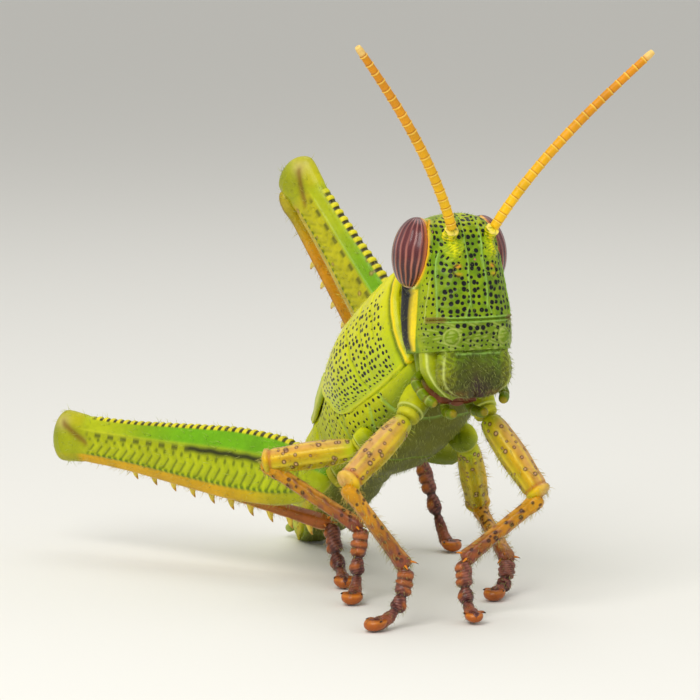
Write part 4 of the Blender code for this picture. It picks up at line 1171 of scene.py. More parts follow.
def feeler(word, hand):
    """Bowed path from the scape; radius tapers and pulses once to a segment."""
    out, ahead, high, bow = FEELERS[word]
    base, rise = socket(hand)
    share = np.linspace(0.0, 1.0, 12)[:, None]
    bend = np.array([hand * -0.85, 0.10, 0.50]) * bow * np.sin(np.pi * share ** 0.85)
    path = base + rise + (np.array([hand * out, ahead, high]) - rise) * share + bend
    points = head_point(*path.T)
    points[0] = points[0] - 0.02 * (points[1] - points[0])
    taper = profile(((0.0, 0.25), (0.06, 0.265), (0.5, 0.255), (0.8, 0.215), (1.0, 0.19)))
    grid, share, _ = tube(points, taper, taper, rows=440, cols=24, ends=(0.012, 0.022))
    count = FEELER_SEGMENTS * share ** 0.92
    within = count - np.floor(count)
    rim = bell(within - 0.90, 0.075)
    gap = bell(within, 0.045) + bell(within - 1.0, 0.045)
    tint = coated(mix(paint(236, 184, 10), paint(218, 150, 14), step(share, 0.35, 0.6)), (
        (paint(206, 122, 16), 0.45 * step(share, 0.6, 0.5)),
        (paint(250, 216, 90), 0.7 * rim),
        (RUST, 0.75 * np.clip(gap, 0, 1)),
        (paint(240, 210, 130), 0.7 * step(share, 0.955, 0.02))))
    return shape(raised(grid, 0.038 * rim - 0.032 * gap), tint)


def scape(hand):
    """Thick first joint and a short second one, knobbly."""
    base, rise = socket(hand)
    points = [head_point(*(base + far * rise)) for far in (-0.6, 0.4, 1.02)]
    radius = profile(((0.0, 0.40), (0.35, 0.42), (0.66, 0.39), (0.72, 0.30), (0.80, 0.36),
                      (1.0, 0.34)))
    grid, share, turn = tube(points, radius, radius, rows=90, cols=60, ends=(0.05, 0.06))
    lump = np.sin(turn * 5.0 + share * 19.0) * np.sin(share * 27.0 + turn)
    # painted light and shade: the knobs yellower on their tops, darker in the hollows between them
    tint = coated(mix(mix(GREEN, LIME, 0.6), YELLOW, 0.35 + 0.35 * lump), (
        (DEEP, 0.55 * step(-lump, 0.4, 0.3)),
        (paint(240, 214, 110), 0.75 * bell(share - 0.95, 0.04))))
    return shape(raised(grid, 0.03 * lump), tint)


for word, hand in SIDES:
    put("feeler_whip_" + word, [feeler(word, hand)], feeler_finish, "feeler_" + word)
    put("feeler_base_" + word, [scape(hand)], plate, "scape_" + word)

# %% [markdown]
# ## Legs
#
# Six legs on eight joints each: inside the body, trochanter, knee, ankle, two joints of the
# foot, the sole, the tip. The four walking legs are slim, yellow above and orange-brown below
# the knee, freckled with small brown rings. The hind thighs are great flat clubs with a beaded
# upper keel and a herringbone of ridges on the face, the hind shins carry two rows of spines.

# %% Leg joints and sizes
LEGS = {
    "fore_right": [(-1.5, -0.6, 11.9), (-3.0, -1.45, 10.25), (-7.3, -3.1, 7.3),
                   (-4.5, -4.65, 3.0), (-4.95, -4.95, 1.7), (-5.4, -5.15, 0.95),
                   (-6.5, -5.45, 0.42), (-7.2, -5.6, 0.42)],
    "fore_left": [(1.3, -0.6, 11.8), (1.55, -1.95, 10.2), (3.16, -5.0, 6.25),
                  (-0.7, -3.6, 2.95), (-0.85, -4.15, 1.6), (-0.95, -4.6, 0.85),
                  (-1.2, -5.7, 0.42), (-1.35, -6.4, 0.42)],
    "middle_right": [(-2.4, 3.4, 8.8), (-3.2, 3.9, 8.0), (-7.5, 6.9, 7.15),
                     (-3.3, 3.2, 3.8), (-3.7, 2.9, 2.2), (-3.9, 2.6, 1.2),
                     (-4.5, 1.8, 0.42), (-4.9, 1.3, 0.42)],
    "middle_left": [(2.4, 3.05, 8.7), (3.2, 3.5, 7.9), (5.16, 6.0, 4.0),
                    (4.2, 0.6, 1.9), (3.9, 0.35, 1.1), (3.6, 0.1, 0.6),
                    (2.9, -0.45, 0.4), (2.5, -0.8, 0.4)],
    "hind_right": [(-1.6, 6.4, 7.2), (-3.1, 7.5, 5.8), (-12.5, 24.8, 6.7),
                   (-2.0, 9.8, 2.9), (-2.25, 8.7, 1.5), (-2.4, 7.9, 0.8),
                   (-2.9, 6.3, 0.42), (-3.2, 5.5, 0.42)],
    "hind_left": [(1.8, 6.6, 7.6), (4.95, 7.4, 6.9), (-0.4, 18.8, 22.3),
                  (6.9, 16.5, 5.0), (7.1, 15.6, 3.1), (7.2, 15.1, 2.1),
                  (7.45, 14.0, 0.44), (7.55, 13.2, 0.42)],
}
THIGH_KEEL = {"hind_right": (0.1, 0.1, 1.0), "hind_left": (0.35, -0.80, 0.45)}
SHIN_START = {"hind_right": (-12.0, 23.95, 6.3), "hind_left": (-0.75, 19.0, 20.7)}
SLIM_FEMUR = ((0.0, 0.44), (0.06, 0.56), (0.2, 0.68), (0.5, 0.75), (0.78, 0.67), (0.90, 0.66),
              (0.965, 0.70), (1.0, 0.66))
SLIM_TIBIA = ((0.0, 0.43), (0.10, 0.44), (0.22, 0.37), (0.5, 0.38), (0.85, 0.41), (0.95, 0.46),
              (1.0, 0.44))
HIND_TIBIA = ((0.0, 0.44), (0.05, 0.45), (0.12, 0.34), (0.5, 0.36), (0.85, 0.39), (0.96, 0.46),
              (1.0, 0.44))
FOOT = ((0.0, 0.34), (0.10, 0.42), (0.28, 0.41), (0.345, 0.27), (0.40, 0.37), (0.49, 0.38),
        (0.555, 0.25), (0.66, 0.30), (0.80, 0.36), (0.86, 0.33), (1.0, 0.22))

leg_skin = cuticle("leg cuticle", "thigh", rough=0.36, coat=0.16, uneven=0.22, fine=5200.0,
                   relief=0.05)
shin_skin = cuticle("shin cuticle", "shin", rough=0.38, coat=0.14, uneven=0.3, fine=5600.0,
                    relief=0.06)
foot_skin = cuticle("foot cuticle", "foot", rough=0.38, coat=0.25, uneven=0.4, fine=4800.0,
                    relief=0.07)
thigh_skin = cuticle("hind thigh", "hind_thigh", rough=0.40, coat=0.1, uneven=0.22, fine=4200.0,
                     relief=0.05)


# %% Freckles and spikes
def freckles(grid, count, seed, ends=(0.08, 0.95), size=(0.075, 0.125)):
    """Brown rings with pale middles at random places: masks of ring and middle."""
    rng = np.random.default_rng(seed)
    ring, middle = np.zeros(grid.shape[:2]), np.zeros(grid.shape[:2])
    for _ in range(count):
        row = int(rng.uniform(*ends) * (len(grid) - 1))
        gap = np.linalg.norm(grid - grid[row, rng.integers(grid.shape[1])], axis=-1)
        radius = rng.uniform(*size)
        ring = np.maximum(ring, bell(gap - radius, 0.42 * radius))
        middle = np.maximum(middle, 1.0 - step(gap, 0.75 * radius, 0.5 * radius))
    return ring, middle


def spike(root, tip, radius, bow, base, point):
    """Curved cone from root to tip, another colour at the point."""
    root, tip, bow = (np.asarray(v, float) for v in (root, tip, bow))
    taper = profile(((0.0, radius), (0.35, 0.72 * radius), (0.8, 0.3 * radius),
                     (1.0, 0.06 * radius)))
    joints = [root, 0.5 * (root + tip) + bow, tip]
    grid, share, _ = tube(joints, taper, taper, rows=16, cols=12, ends=(0.02, 0.03))
    return shape(grid, mix(base, point, step(share, 0.74, 0.20)))


# %% Coxa, femur and tibia of the walking legs
HIP_HALF = {True: 0.95, False: 0.80}    # hind legs, walking legs


def blotches(share, turn, pace):
    """Soft patches, 0 to 1, this many radians along the piece."""
    around = np.sin(turn * 3.0 + 1.0)
    return np.clip(np.sin(share * pace + 2.0 * np.sin(turn * 2.0)) * around, 0, 1)


def coxa(leg):
    """Short barrel with a ring-shaped trochanter at its outer end."""
    joints = LEGS[leg][:2]
    wide = HIP_HALF[leg.startswith("hind")]
    radius = profile(((0.0, wide), (0.5, wide), (0.74, 0.9 * wide), (0.80, 0.62), (0.86, 0.64),
                      (0.95, 0.60), (1.0, 0.50)))
    grid, share, turn = tube(joints, radius, radius, rows=60, cols=52, ends=(0.34, 0.05))
    rim = bell(share - 0.755, 0.02)
    groove = bell(share - 0.80, 0.02)
    crease = bell(np.sin(0.5 * turn + 0.6), 0.10) * step(0.74 - share, 0.0, 0.1)
    tint = coated(mix(mix(OLIVE, GREEN, 0.6), LIME, 0.8 * step(np.sin(turn), 0.1, 1.4)), (
        # painted highlight: a pale ring on the raised rim where the coxa meets the trochanter
        (PALE, 0.8 * rim),
        (paint(196, 190, 40), 0.7 * step(share, 0.81, 0.03)),
        (DEEP, 0.5 * np.clip(groove + 0.6 * crease, 0, 1))))
    return shape(raised(grid, 0.05 * rim - 0.06 * groove - 0.06 * crease), tint)


def slim_femur(leg, seed):
    """Eight-keeled rod, swollen in the middle, with knee lobes and freckles."""
    radius = profile(SLIM_FEMUR)
    grid, share, turn = tube(LEGS[leg][1:3], radius, radius, rows=170, cols=88, ends=(0.05, 0.07))
    keels = np.cos(8.0 * turn) * step(share, 0.08, 0.1) * (1.0 - step(share, 0.90, 0.06))
    lobe = bell(share - 0.955, 0.035)
    notch = bell(share - 0.90, 0.018)
    ring, middle = freckles(grid, 64, seed, size=(0.05, 0.11))
    above, smudge = step(np.sin(turn), 0.30, 0.9), blotches(share, turn, 23.0)
    tint = coated(mix(paint(200, 180, 0), paint(210, 160, 0), step(share, 0.30, 0.6)), (
        (paint(150, 150, 6), 0.7 * step(-np.sin(turn), 0.35, 0.7)),
        (paint(204, 154, 98), 0.75 * above),
        (paint(176, 190, 4), 0.7 * (1.0 - step(share, 0.12, 0.12))),
        (paint(160, 112, 20), 0.45 * smudge * step(share, 0.15, 0.2)),
        (paint(232, 208, 50), 0.42 * keels.clip(0, 1)),
        (paint(206, 160, 130), 0.75 * middle),
        (paint(70, 34, 24), 0.92 * ring),
        (YELLOW, 0.3 * lobe),
        (RUST, 0.6 * notch)))
    relief = 0.022 * keels + 0.03 * lobe - 0.05 * notch + 0.02 * middle - 0.012 * ring
    return shape(raised(grid, relief), tint)


def slim_tibia(leg, seed):
    """Round rod from orange at the knee to reddish brown at the ankle, mottled."""
    radius = profile(SLIM_TIBIA)
    grid, share, turn = tube(LEGS[leg][2:4], radius, radius, rows=150, cols=60, ends=(0.06, 0.06))
    keels = np.cos(6.0 * turn)
    ring, middle = freckles(grid, 34, seed, (0.05, 0.92), (0.05, 0.10))
    blotch = blotches(share, turn, 41.0)
    tint = coated(mix(paint(202, 142, 6), paint(136, 72, 34), step(share, 0.50, 0.9)), (
        (paint(222, 168, 84), 0.5 * step(np.sin(turn), 0.5, 0.6)),
        (paint(112, 64, 60), 0.75 * blotch * step(share, 0.2, 0.2)),
        (paint(56, 30, 26), 0.9 * np.clip(ring + 0.7 * middle, 0, 1)),
        (paint(120, 62, 46), 0.6 * step(share, 0.90, 0.08))))
    relief = 0.018 * keels - 0.02 * middle + 0.012 * blotch
    return shape(raised(grid, relief), tint)


def end_spurs(leg):
    """Four short spurs round the end of a shin."""
    knee, ankle = np.array(SHIN_START.get(leg, LEGS[leg][2])), np.array(LEGS[leg][3])
    run = unit(ankle - knee)
    one = unit(np.cross(run, (0.3, 0.4, 0.8)))
    two = np.cross(run, one)
    spurs = []
    for k, angle in enumerate(np.radians((35.0, 145.0, 215.0, 325.0))):
        face = np.cos(angle) * one + np.sin(angle) * two
        root = ankle - 0.22 * run + 0.36 * face
        point = root + 0.30 * face + (0.34 + 0.06 * (k % 2)) * run
        spurs.append(spike(root, point, 0.075, 0.04 * face, ORANGE, BLACK))
    return spurs


# %% Feet
STRAIGHT_UP = np.array([0.0, 0.0, 1.0])
PAD_SIZE = np.array([0.50, 0.48, 0.36])     # half length, half width, half height


def foot(leg):
    """Three-jointed sole with pads below, waists between the joints."""
    radius = profile(FOOT)
    grid, share, turn = tube(LEGS[leg][3:8], radius, radius, rows=150, cols=50, ends=(0.05, 0.05))
    under = step(-np.sin(turn), 0.0, 0.7)
    pads = np.clip(sum(bell(share - at, 0.035) for at in (0.10, 0.19, 0.28, 0.45)), 0, 1)
    waist = bell(share - 0.345, 0.016) + bell(share - 0.555, 0.016)
    split = bell(np.cos(turn), 0.12) * under * pads
    ridge = bell(share - 0.145, 0.012) + bell(share - 0.235, 0.012)
    wrinkle = np.sin(turn * 4.0 + share * 60.0) * np.sin(share * 95.0)
    tint = coated(mix(paint(112, 62, 48), paint(84, 40, 36), step(share, 0.35, 0.3)), (
        # painted light and shade: the wrinkles lighter on their crests, darker in their hollows
        (paint(146, 92, 78), 0.5 * step(wrinkle, 0.2, 0.3)),
        (paint(58, 28, 28), 0.45 * step(-wrinkle, 0.3, 0.3)),
        (paint(176, 96, 30), 0.75 * under ** 2 * pads),
        (paint(160, 88, 52), 0.6 * bell(share - 0.75, 0.1)),
        (paint(52, 26, 26), 0.85 * np.clip(waist + 0.7 * ridge * under, 0, 1))))
    relief = 0.06 * under * pads - 0.03 * waist - 0.05 * ridge * under - 0.05 * split
    relief = relief + 0.016 * wrinkle + 0.02 * np.sin(share * 37.0 + 2.0 * turn)
    grid = raised(grid, relief)
    grid[..., 2] = np.maximum(grid[..., 2], 0.0)
    return shape(grid, tint)


def foot_tip(leg):
    """Round pad between two curved claws, at the end of the foot."""
    sole, tip = np.array(LEGS[leg][6]), np.array(LEGS[leg][7])
    run = unit(tip - sole)
    out = unit(np.cross(run, STRAIGHT_UP))
    _, _, along, across, high = ball(22, 44)
    dish = np.where(high > 0.0, high * (0.35 + 0.65 * (along ** 2 + across ** 2)), high)
    long, wide, tall = PAD_SIZE if leg == "fore_left" else 1.22 * PAD_SIZE
    grid = reach_from(sole + 0.22 * run + 0.04 * STRAIGHT_UP, (long * along, run),
                      (wide * across, out), (tall * dish, unit(STRAIGHT_UP - 0.35 * run)))
    grid[..., 2] = np.maximum(grid[..., 2], 0.0)
    crease = bell(across, 0.10) * (high > 0.0)
    far = np.hypot(along, across)
    tint = coated(mix(paint(164, 84, 20), paint(132, 72, 52), step(-far, -0.45, 0.5)), (
        (paint(206, 124, 34), 0.7 * bell(high - 0.25, 0.18)),
        (paint(84, 44, 30), 0.4 * crease)))
    pieces = [shape(grid, tint)]
    for _, hand in SIDES:
        root = sole + 0.20 * hand * out + 0.12 * STRAIGHT_UP
        point = root + 0.40 * hand * out + 0.42 * run + 0.06 * STRAIGHT_UP
        pieces.append(spike(root, point, 0.13, 0.10 * hand * out + 0.06 * STRAIGHT_UP,
                            paint(150, 84, 40), BLACK))
    return pieces


def put_leg(leg, thigh_name, thigh, thigh_finish, shin_name, shin):
    """The four pieces of a leg, from the hip down."""
    put(leg + "_hip", [coxa(leg)], hide, leg + "_coxa")
    put(leg + thigh_name, [thigh], thigh_finish, leg + "_femur")
    put(leg + shin_name, shin + end_spurs(leg), shin_skin, leg + "_tibia")
    put(leg + "_foot", [foot(leg)] + foot_tip(leg), foot_skin, leg + "_tarsus")


for seed, leg in enumerate(("fore_right", "fore_left", "middle_right", "middle_left")):
    put_leg(leg, "_thigh_rod", slim_femur(leg, 20 + seed), leg_skin,
            "_shin_rod", [slim_tibia(leg, 30 + seed)])

# %% [markdown]
# ## Hind thighs
#
# The section is a flat lens with a keel above and below. Seen from the side its bands are
# simply heights on that lens: at the top the keel of yellow beads and dark squares, then the
# smooth bright green band, the black stripe that breaks into dashes toward the knee, the broad
# herringbone field, a dotted green line, and the yellow lower flange. The inner face is yellower
# and has rows of pinkish dots in place of the stripe.

# %% The club
# share of the length, half depth, half thickness
THIGH = ((0.0, 0.58, 0.45), (0.05, 1.05, 0.62), (0.11, 1.56, 0.74), (0.20, 1.90, 0.78),
         (0.32, 1.96, 0.78), (0.45, 1.80, 0.76), (0.58, 1.58, 0.68), (0.72, 1.36, 0.60),
         (0.83, 1.28, 0.56), (0.90, 1.38, 0.60), (0.95, 1.46, 0.64), (1.0, 1.24, 0.55))
# mm from one to the next
BEAD_GAP, RIDGE_GAP, DASH_GAP, DOT_GAP = 0.50, 0.62, 0.95, 0.42


def waves(run, gap):
    """Cosine with one crest to a gap."""
    return np.cos(2.0 * np.pi * run / gap)


def hind_thigh(leg):
    """Lens section by share of the length; bands by height on the section."""
    hand = -1.0 if leg == "hind_right" else 1.0
    joints = LEGS[leg][1:3]
    table = np.array(THIGH)
    deep, thick = profile(table[:, :2]), profile(table[:, [0, 2]])
    grid, share, turn = tube(joints, thick, deep, THIGH_KEEL[leg], rows=400, cols=116,
                             square=0.92, ends=(0.03, 0.04))
    high = power(np.sin(turn), 0.92)
    outer = step(hand * np.cos(turn), 0.0, 0.3)
    inner = 1.0 - outer
    run = share * np.linalg.norm(np.subtract(joints[1], joints[0]))
    body = step(share, 0.07, 0.06) * (1.0 - step(share, 0.855, 0.05))
    beads = 0.5 + 0.5 * waves(run, BEAD_GAP)
    top_keel, low_keel = bell(high - 1.0, 0.085), bell(high + 1.0, 0.07)
    rib_up, rib_low = bell(high - 0.40, 0.045), bell(high + 0.60, 0.045)
    field = step(high, -0.56, 0.06) * (1.0 - step(high, 0.14, 0.06)) * body
    chevron = waves(run - 1.1 * np.abs(high + 0.20), RIDGE_GAP)
    knee = step(share, 0.885, 0.03)
    knee_line = bell(high - 0.30 - 7.0 * (share - 0.925), 0.16) * step(share, 0.855, 0.03)
    knee_line = knee_line * (1.0 - step(share, 0.955, 0.02))
    crescent = bell(np.hypot((share - 0.93) * 26.0, high) - 0.75, 0.12) * knee

    green, yellow = step(high, 0.36, 0.06), 1.0 - step(high, -0.66, 0.08)
    stripe = bell(high - 0.265 - 0.015 * np.sin(run * 5.0), 0.11) * (1.0 - step(share, 0.49, 0.03))
    stripe = stripe * step(share, 0.10, 0.04)
    dash_on = step(waves(run, DASH_GAP), 0.1, 0.5) * step(share, 0.48, 0.02)
    dashes = bell(high - 0.24, 0.11) * dash_on * (1.0 - step(share, 0.86, 0.03))
    dots = bell(high + 0.60, 0.07) * step(waves(run, DOT_GAP), -0.2, 0.8) * body
    leaning = np.cos(2.0 * np.pi * run / RIDGE_GAP + 11.0 * high)
    marks = field * step(-chevron, 0.25, 0.5) * step(leaning, 0.35, 0.5)
    ring, middle = freckles(grid, 46, 60 if hand > 0 else 61, (0.1, 0.9), (0.07, 0.12))
    on_keel = step(high, 0.90, 0.05) * body
    bead_tint = mix(paint(58, 52, 14), paint(216, 206, 24), step(beads, 0.45, 0.3))

    tint = coated(mix(paint(168, 184, 2), paint(160, 166, 2), share), (
        (paint(104, 164, 0), green * (1.0 - 0.55 * step(share, 0.62, 0.3))),
        (paint(176, 180, 12), green * 0.7 * step(share, 0.72, 0.2)),
        (paint(204, 158, 0), yellow * step(share, 0.20, 0.4)),
        (paint(192, 200, 10), 0.35 * field * chevron.clip(0, 1)),
        (paint(190, 178, 18), 0.65 * inner * (1.0 - green)),
        (paint(60, 74, 8), 0.62 * marks * (0.4 + 0.6 * outer)),
        (paint(196, 150, 110), 0.6 * inner * middle),
        (paint(118, 88, 34), 0.7 * inner * ring),
        (BLACK, 0.97 * stripe * outer),
        (paint(60, 66, 22), 0.8 * dashes),
        (paint(56, 92, 4), 0.85 * dots),
        (paint(206, 206, 40), 0.4 * rib_up * (1.0 - stripe)),
        (bead_tint, on_keel),
        (paint(150, 158, 2), 0.85 * knee),
        (paint(196, 184, 10), 0.5 * knee * step(high, 0.45, 0.4)),
        (paint(206, 190, 120), 0.6 * bell(share - 0.955, 0.025) * bell(high - 0.55, 0.3)),
        (paint(120, 78, 20), 0.75 * knee_line)))
    relief = body * (top_keel * (0.02 + 0.09 * beads) + 0.05 * low_keel + 0.07 * rib_up
                     + 0.07 * rib_low - 0.03 * bell(high - 0.66, 0.14))
    relief = (relief + 0.020 * field * chevron - 0.05 * knee_line
              + 0.05 * crescent * (high < 0.0) - 0.03 * bell(share - 0.872, 0.012))
    return shape(raised(grid, relief * (share < 0.985)), tint)


# %% Hind shins
SPINES, SPINE_LONG, SPINE_WIDE, SPINE_SPLAY = 10, 0.58, 0.26, 28.0


def hind_shin(leg):
    """Rod with a dark line along it; curved pale spines in two rows."""
    start, ankle, hip = (np.array(v, float) for v in (SHIN_START[leg], LEGS[leg][3], LEGS[leg][1]))
    run = unit(ankle - start)
    far = start + run * ((hip - start) @ run) - hip
    far = unit(far - run * (far @ run))
    out = np.cross(run, far)
    radius = profile(HIND_TIBIA)
    grid, share, turn = tube([start, ankle], radius, radius, far, rows=200, cols=48)
    back = np.sin(turn)
    ring, _ = freckles(grid, 40, 80, (0.05, 0.95), (0.05, 0.09))
    tint = coated(mix(paint(176, 160, 24), paint(206, 142, 22), step(share, 0.16, 0.2)), (
        (paint(168, 92, 34), step(share, 0.72, 0.4)),
        (paint(116, 66, 28), 0.45 * bell(back + 0.1, 0.18)),
        (paint(232, 186, 66), 0.45 * bell(back - 0.55, 0.2)),
        (paint(96, 58, 30), 0.6 * ring * step(share, 0.2, 0.2))))
    relief = 0.015 * np.cos(6.0 * turn) + 0.03 * bell(share - 0.06, 0.02)
    shapes = [shape(raised(grid, relief), tint)]
    for k in range(SPINES):
        at = start + (ankle - start) * (0.26 + 0.66 * k / (SPINES - 1))
        for _, hand in SIDES:
            splay = np.radians(hand * SPINE_SPLAY)
            face = far * np.cos(splay) + out * np.sin(splay)
            root, point = at + face * 0.20, at + face * (0.38 + SPINE_LONG) + run * 0.30
            shapes.append(spike(root, point, SPINE_WIDE, 0.07 * face - 0.05 * run,
                                paint(236, 212, 80), paint(200, 150, 60)))
    return shapes


for leg in ("hind_right", "hind_left"):
    put_leg(leg, "_club", hind_thigh(leg), thigh_skin, "_spined_shin", hind_shin(leg))


# %% Cerci
CERCUS_AT = 26.2                # distance back along the axis


def cercus(hand):
    """Short blunt cone beside the tail."""
    line, right, ahead, up = (along_axis(np.array(CERCUS_AT), table)
                              for table in (LINE, RIGHT, AHEAD, UP))
    root = line + right * hand * 0.55 + up * 0.25
    tip = root + right * hand * 0.50 - ahead * 1.15 + up * 0.20
    radius = profile(((0.0, 0.30), (0.5, 0.28), (0.85, 0.25), (1.0, 0.20)))
    grid, share, _ = tube([root, tip], radius, radius, rows=60, ends=(0.05, 0.20))
    return shape(grid, mix(GREEN, PALE, 0.5 * step(share, 0.6, 0.4)))


for word, hand in SIDES:
    put("cercus_cone_" + word, [cercus(hand)], hide, "cercus_" + word)

# %% [markdown]
# ## Fine hairs
#
# A close look shows short pale hairs all over the animal, longest along the legs, under the
# breast and round the upper lip. Each is a bent three-sided cone standing in the skin and leaning
# back along it. Roots are drawn at random over the finished grids, more often where a weight is
# higher, and all the hairs of a batch are worked out as arrays together. A second map, OFBake,
# gives each hair one small patch, placed where its root lies on the unwrap of its grid.

# %% Hair cones
HAIR_THICK, PATCH = 0.014, 0.003        # mm; share of the unwrap
CONE_FACES = np.array([(0, 1, 4), (0, 4, 3), (1, 2, 5), (1, 5, 4), (2, 0, 3), (2, 3, 5),
                       (3, 4, 6), (4, 5, 6), (5, 3, 6), (2, 1, 0)])
CONE_SPREAD = np.array([(0, 0), (1, 0), (0.5, 0.3), (0, 0.6), (1, 0.6), (0.5, 0.8), (0.5, 1.0)])
BOX_MARGIN = 0.02
box_low, box_high = (np.array(v) / MM - CENTRE_SHIFT for v in cad_box)
BOX_MIDDLE = 0.5 * (box_low + box_high)[:2]
BOX_HALF = 0.5 * (box_high - box_low)[:2] - BOX_MARGIN
BOX_TOP = box_high[2] - BOX_MARGIN
hair_finish = bpy.data.materials.new("fine hair")
hair_finish.use_nodes = True
hair_tree = hair_finish.node_tree
hair_tint = node(hair_tree, "ShaderNodeAttribute", attribute_name="tint")
wire(hair_tree, hair_tree.nodes["Principled BSDF"],
     {"Base Color": hair_tint.outputs["Color"], "Roughness": 0.55, "Specular IOR Level": 0.3})
hair_finish["slot"] = "belly"


def hair_roots(item, weight, count, rng):
    """Random grid cells, drawn by area x weight: root, normal, lie, tint, place on the unwrap."""
    grid = item["grid"]
    rows, cols = grid.shape[:2]
    along = np.diff(grid, axis=0)
    around = np.roll(grid, -1, 1)[:-1] - grid[:-1]
    area = np.linalg.norm(np.cross(around, along), axis=2)
    chance = area * np.clip(weight, 0.0, None)[:-1]
    pick = rng.choice(area.size, size=count, p=(chance / chance.sum()).ravel())
    row, col = pick // cols, pick % cols
    a, b = rng.random((2, count, 1))
    root = grid[row, col] + a * around[row, col] + b * along[row, col]
    lie = unit(along[row, col])
    place = np.stack([(col + a[:, 0]) / cols, (row + b[:, 0]) / rows], -1)
    return root, outward(grid)[row, col], lie, item["tint"][row, col], place


def hair_cones(root, normal, lie, low, high, lift, way, rng):
    """Seven points to a hair: root triangle, middle triangle, tip."""
    jitter = rng.normal(0.0, 0.22, (len(root), 3))
    start = unit(normal * lift + lie * way * (1.0 - lift) + jitter)
    finish = unit(start + lie * way * 0.55 + jitter * 0.5)
    length = rng.uniform(low, high, (len(root), 1))
    thick = HAIR_THICK * rng.uniform(0.7, 1.2, (len(root), 1)) * np.sqrt(length / 0.4)
    middle = root + start * length * 0.5
    one = unit(np.cross(start, (0.31, 0.52, 0.79)))
    two = np.cross(start, one)
    ring = [np.cos(t) * one + np.sin(t) * two for t in (0.0, 2.0944, 4.1888)]
    base = [root - 0.03 * normal + thick * v for v in ring]
    waist = [middle + 0.62 * thick * v for v in ring]
    cone = np.stack(base + waist + [middle + finish * length * 0.5], axis=1)
    cone[..., 2] = np.maximum(cone[..., 2], 0.004)
    return cone


def hair_batch(name, sources, seed):
    """One mesh of hairs; those that would pass the solids' box are left out."""
    rng = np.random.default_rng(seed)
    span = int(np.ceil(np.sqrt(len(sources))))
    points, colours, uvs = [], [], []
    for number, (item, weight, count, low, high, lift, way) in enumerate(sources):
        root, normal, lie, tint, place = hair_roots(item, weight, count, rng)
        cone = hair_cones(root, normal, lie, low, high, lift, way, rng)
        kept = np.all(np.abs(cone[..., :2] - BOX_MIDDLE) < BOX_HALF, axis=(1, 2))
        kept = kept & (cone[..., 2].max(axis=1) < BOX_TOP)
        shade = mix(tint, PALE, rng.uniform(0.25, 0.7, count))
        corner = np.array([number % span, number // span]) / span
        points.append(cone[kept])
        colours.append(shade[kept])
        uvs.append(corner + place[kept] * (1.0 / span - 2.0 * PATCH) + PATCH)
    points, colours, uvs = (np.concatenate(v) for v in (points, colours, uvs))
    faces = (7 * np.arange(len(points))[:, None, None] + CONE_FACES[None]).reshape(-1, 3)
    mesh = bpy.data.meshes.new(name)
    mesh.from_pydata((points.reshape(-1, 3) + CENTRE_SHIFT) * MM, [], faces.tolist())
    patch = (uvs[:, None] + PATCH * (CONE_SPREAD - 0.5)[None]).reshape(-1, 2)
    mesh.uv_layers.new(name="OFBake").data.foreach_set("uv", patch[faces.ravel()].ravel())
    add_piece(name, mesh, np.repeat(colours, 7, axis=0), hair_finish)
    print(name, len(points), "hairs", len(faces), "triangles")


# %% Where the hairs grow
def grown(name, count, low, high, lift, way=1.0, weight=1.0):
    """A made piece with its hairs' density, number, lengths, lift and the way they lie."""
    item = made[name][0]
    return item, np.broadcast_to(weight, item["grid"].shape[:2]), count, low, high, lift, way


def below(name):
    """How far a made piece faces downward, 0 to 1, point by point."""
    return np.clip(-outward(made[name][0]["grid"])[..., 2], 0.0, 1.0)


trunk_rows, trunk_cols = made["trunk"][0]["grid"].shape[:2]
trunk_turn = fold(-90.0 + 360.0 * np.arange(trunk_cols) / trunk_cols)
trunk_back = np.linspace(*TRUNK_ENDS, trunk_rows)
thorax = step(trunk_back, 3.0, 1.0) * (1.0 - step(trunk_back, 13.0, 1.0))
trunk_weight = (0.35 + 1.6 * step(-trunk_turn, 20.0, 50.0))[None] * (1.0 + 0.5 * thorax)[:, None]
hair_batch("hairs_trunk", [grown("trunk", 4200, 0.16, 0.36, 0.42, weight=trunk_weight)], 11)

saddle_weight = np.zeros(made["pronotum_plate"][0]["grid"].shape[:2])
saddle_weight[:, 4:196] = 1.0
hair_batch("hairs_pronotum", [grown("pronotum_plate", 2600, 0.10, 0.22, 0.5,
                                    weight=saddle_weight)], 12)

hair_batch("hairs_head", [grown("head_capsule", 2600, 0.10, 0.20, 0.5, -1.0),
                          grown("upper_lip", 900, 0.14, 0.34, 0.5),
                          grown("jaw_right", 160, 0.10, 0.2, 0.5, -1.0),
                          grown("jaw_left", 160, 0.10, 0.2, 0.5, -1.0)], 13)

leg_sources = []
for leg in LEGS:
    hind = leg.startswith("hind")
    thigh_name = leg + ("_club" if hind else "_thigh_rod")
    shin_name = leg + ("_spined_shin" if hind else "_shin_rod")
    leg_sources += [grown(thigh_name, 1000 if hind else 420, 0.14, 0.50, 0.6,
                          weight=0.5 + 1.4 * below(thigh_name)),
                    grown(shin_name, 420, 0.14, 0.48, 0.65, weight=0.8 + 0.8 * below(shin_name)),
                    grown(leg + "_foot", 260, 0.12, 0.3, 0.55),
                    grown(leg + "_hip", 140, 0.15, 0.35, 0.55)]
hair_batch("hairs_legs", leg_sources, 14)

# %% [markdown]
# ## Floor, light and camera
#
# A plain pale floor and soft studio light, with one large key light from the front left, a
# fill from the right and a broad light overhead. The camera looks slightly down at the face.

# %% The studio
EYE_LINE = np.array([-5.89, -0.73, 14.0]) + CENTRE_SHIFT   # where the camera looks
CAMERA_PLACE = (-25.5, 7.0, 200.0)      # azimuth, elevation, distance in mm
LAMP_CENTRE = np.array([0.0, 0.0, 12.0])
FOCAL_LENGTH, SENSOR_WIDTH = 197.5, 36.0
FLOOR_REACH = 4.0                       # metres


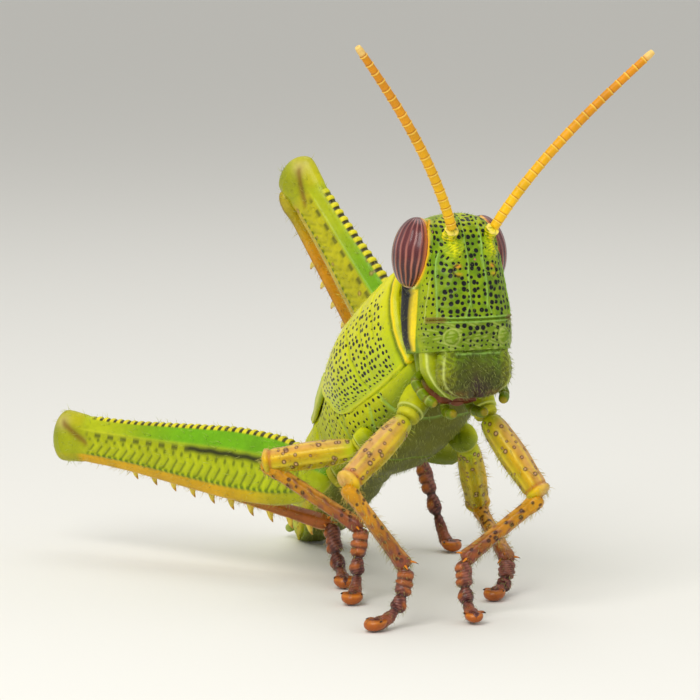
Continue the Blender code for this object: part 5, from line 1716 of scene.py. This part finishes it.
def studio_floor():
    """One pale square, far wider than the view."""
    mesh = bpy.data.meshes.new("floor")
    corners = [(x * FLOOR_REACH, y * FLOOR_REACH, 0.0)
               for x, y in ((-1, -1), (1, -1), (1, 1), (-1, 1))]
    mesh.from_pydata(corners, [], [(0, 1, 2, 3)])
    floor = bpy.data.objects.new("floor", mesh)
    bpy.context.scene.collection.objects.link(floor)
    finish = bpy.data.materials.new("pale paper")
    finish.use_nodes = True
    tree = finish.node_tree
    wire(tree, tree.nodes["Principled BSDF"],
         {"Base Color": (*paint(232, 231, 226), 1.0), "Roughness": 0.85})
    mesh.materials.append(finish)


def stand(name, data, target, azimuth, elevation, distance):
    """Set a lamp or camera this far out from a target and face it that way."""
    a, e = np.radians([azimuth, elevation])
    back = np.array([np.sin(a) * np.cos(e), -np.cos(a) * np.cos(e), np.sin(e)])
    rig = bpy.data.objects.new(name, data)
    rig.location = (target + back * distance) * MM
    rig.rotation_euler = Vector(-back).to_track_quat("-Z", "Y").to_euler()
    bpy.context.scene.collection.objects.link(rig)
    return rig


def lamp(name, place, size, power_watts, colour):
    """Square area light on a sphere round the model."""
    light = bpy.data.lights.new(name, "AREA")
    light.energy, light.size, light.color = power_watts, size * MM, colour
    stand(name, light, LAMP_CENTRE, *place)


def camera():
    """The picture's own view: direction, distance and lens."""
    lens = bpy.data.cameras.new("camera")
    lens.lens, lens.sensor_width = FOCAL_LENGTH, SENSOR_WIDTH
    lens.clip_start, lens.clip_end = 0.01, 10.0
    bpy.context.scene.camera = stand("camera", lens, EYE_LINE, *CAMERA_PLACE)


studio_floor()
lamp("key", (-50.0, 42.0, 230.0), 150.0, 0.34, (1.0, 0.98, 0.94))
lamp("fill", (48.0, 22.0, 260.0), 200.0, 0.06, (0.92, 0.96, 1.0))
lamp("top", (150.0, 68.0, 240.0), 160.0, 0.14, (1.0, 1.0, 1.0))
camera()
world = bpy.data.worlds.new("studio")
world.use_nodes = True
wire(world.node_tree, world.node_tree.nodes["Background"],
     {"Color": (*paint(222, 221, 218), 1.0), "Strength": 0.80})
bpy.context.scene.world = world
bpy.context.scene.view_settings.view_transform = "Standard"
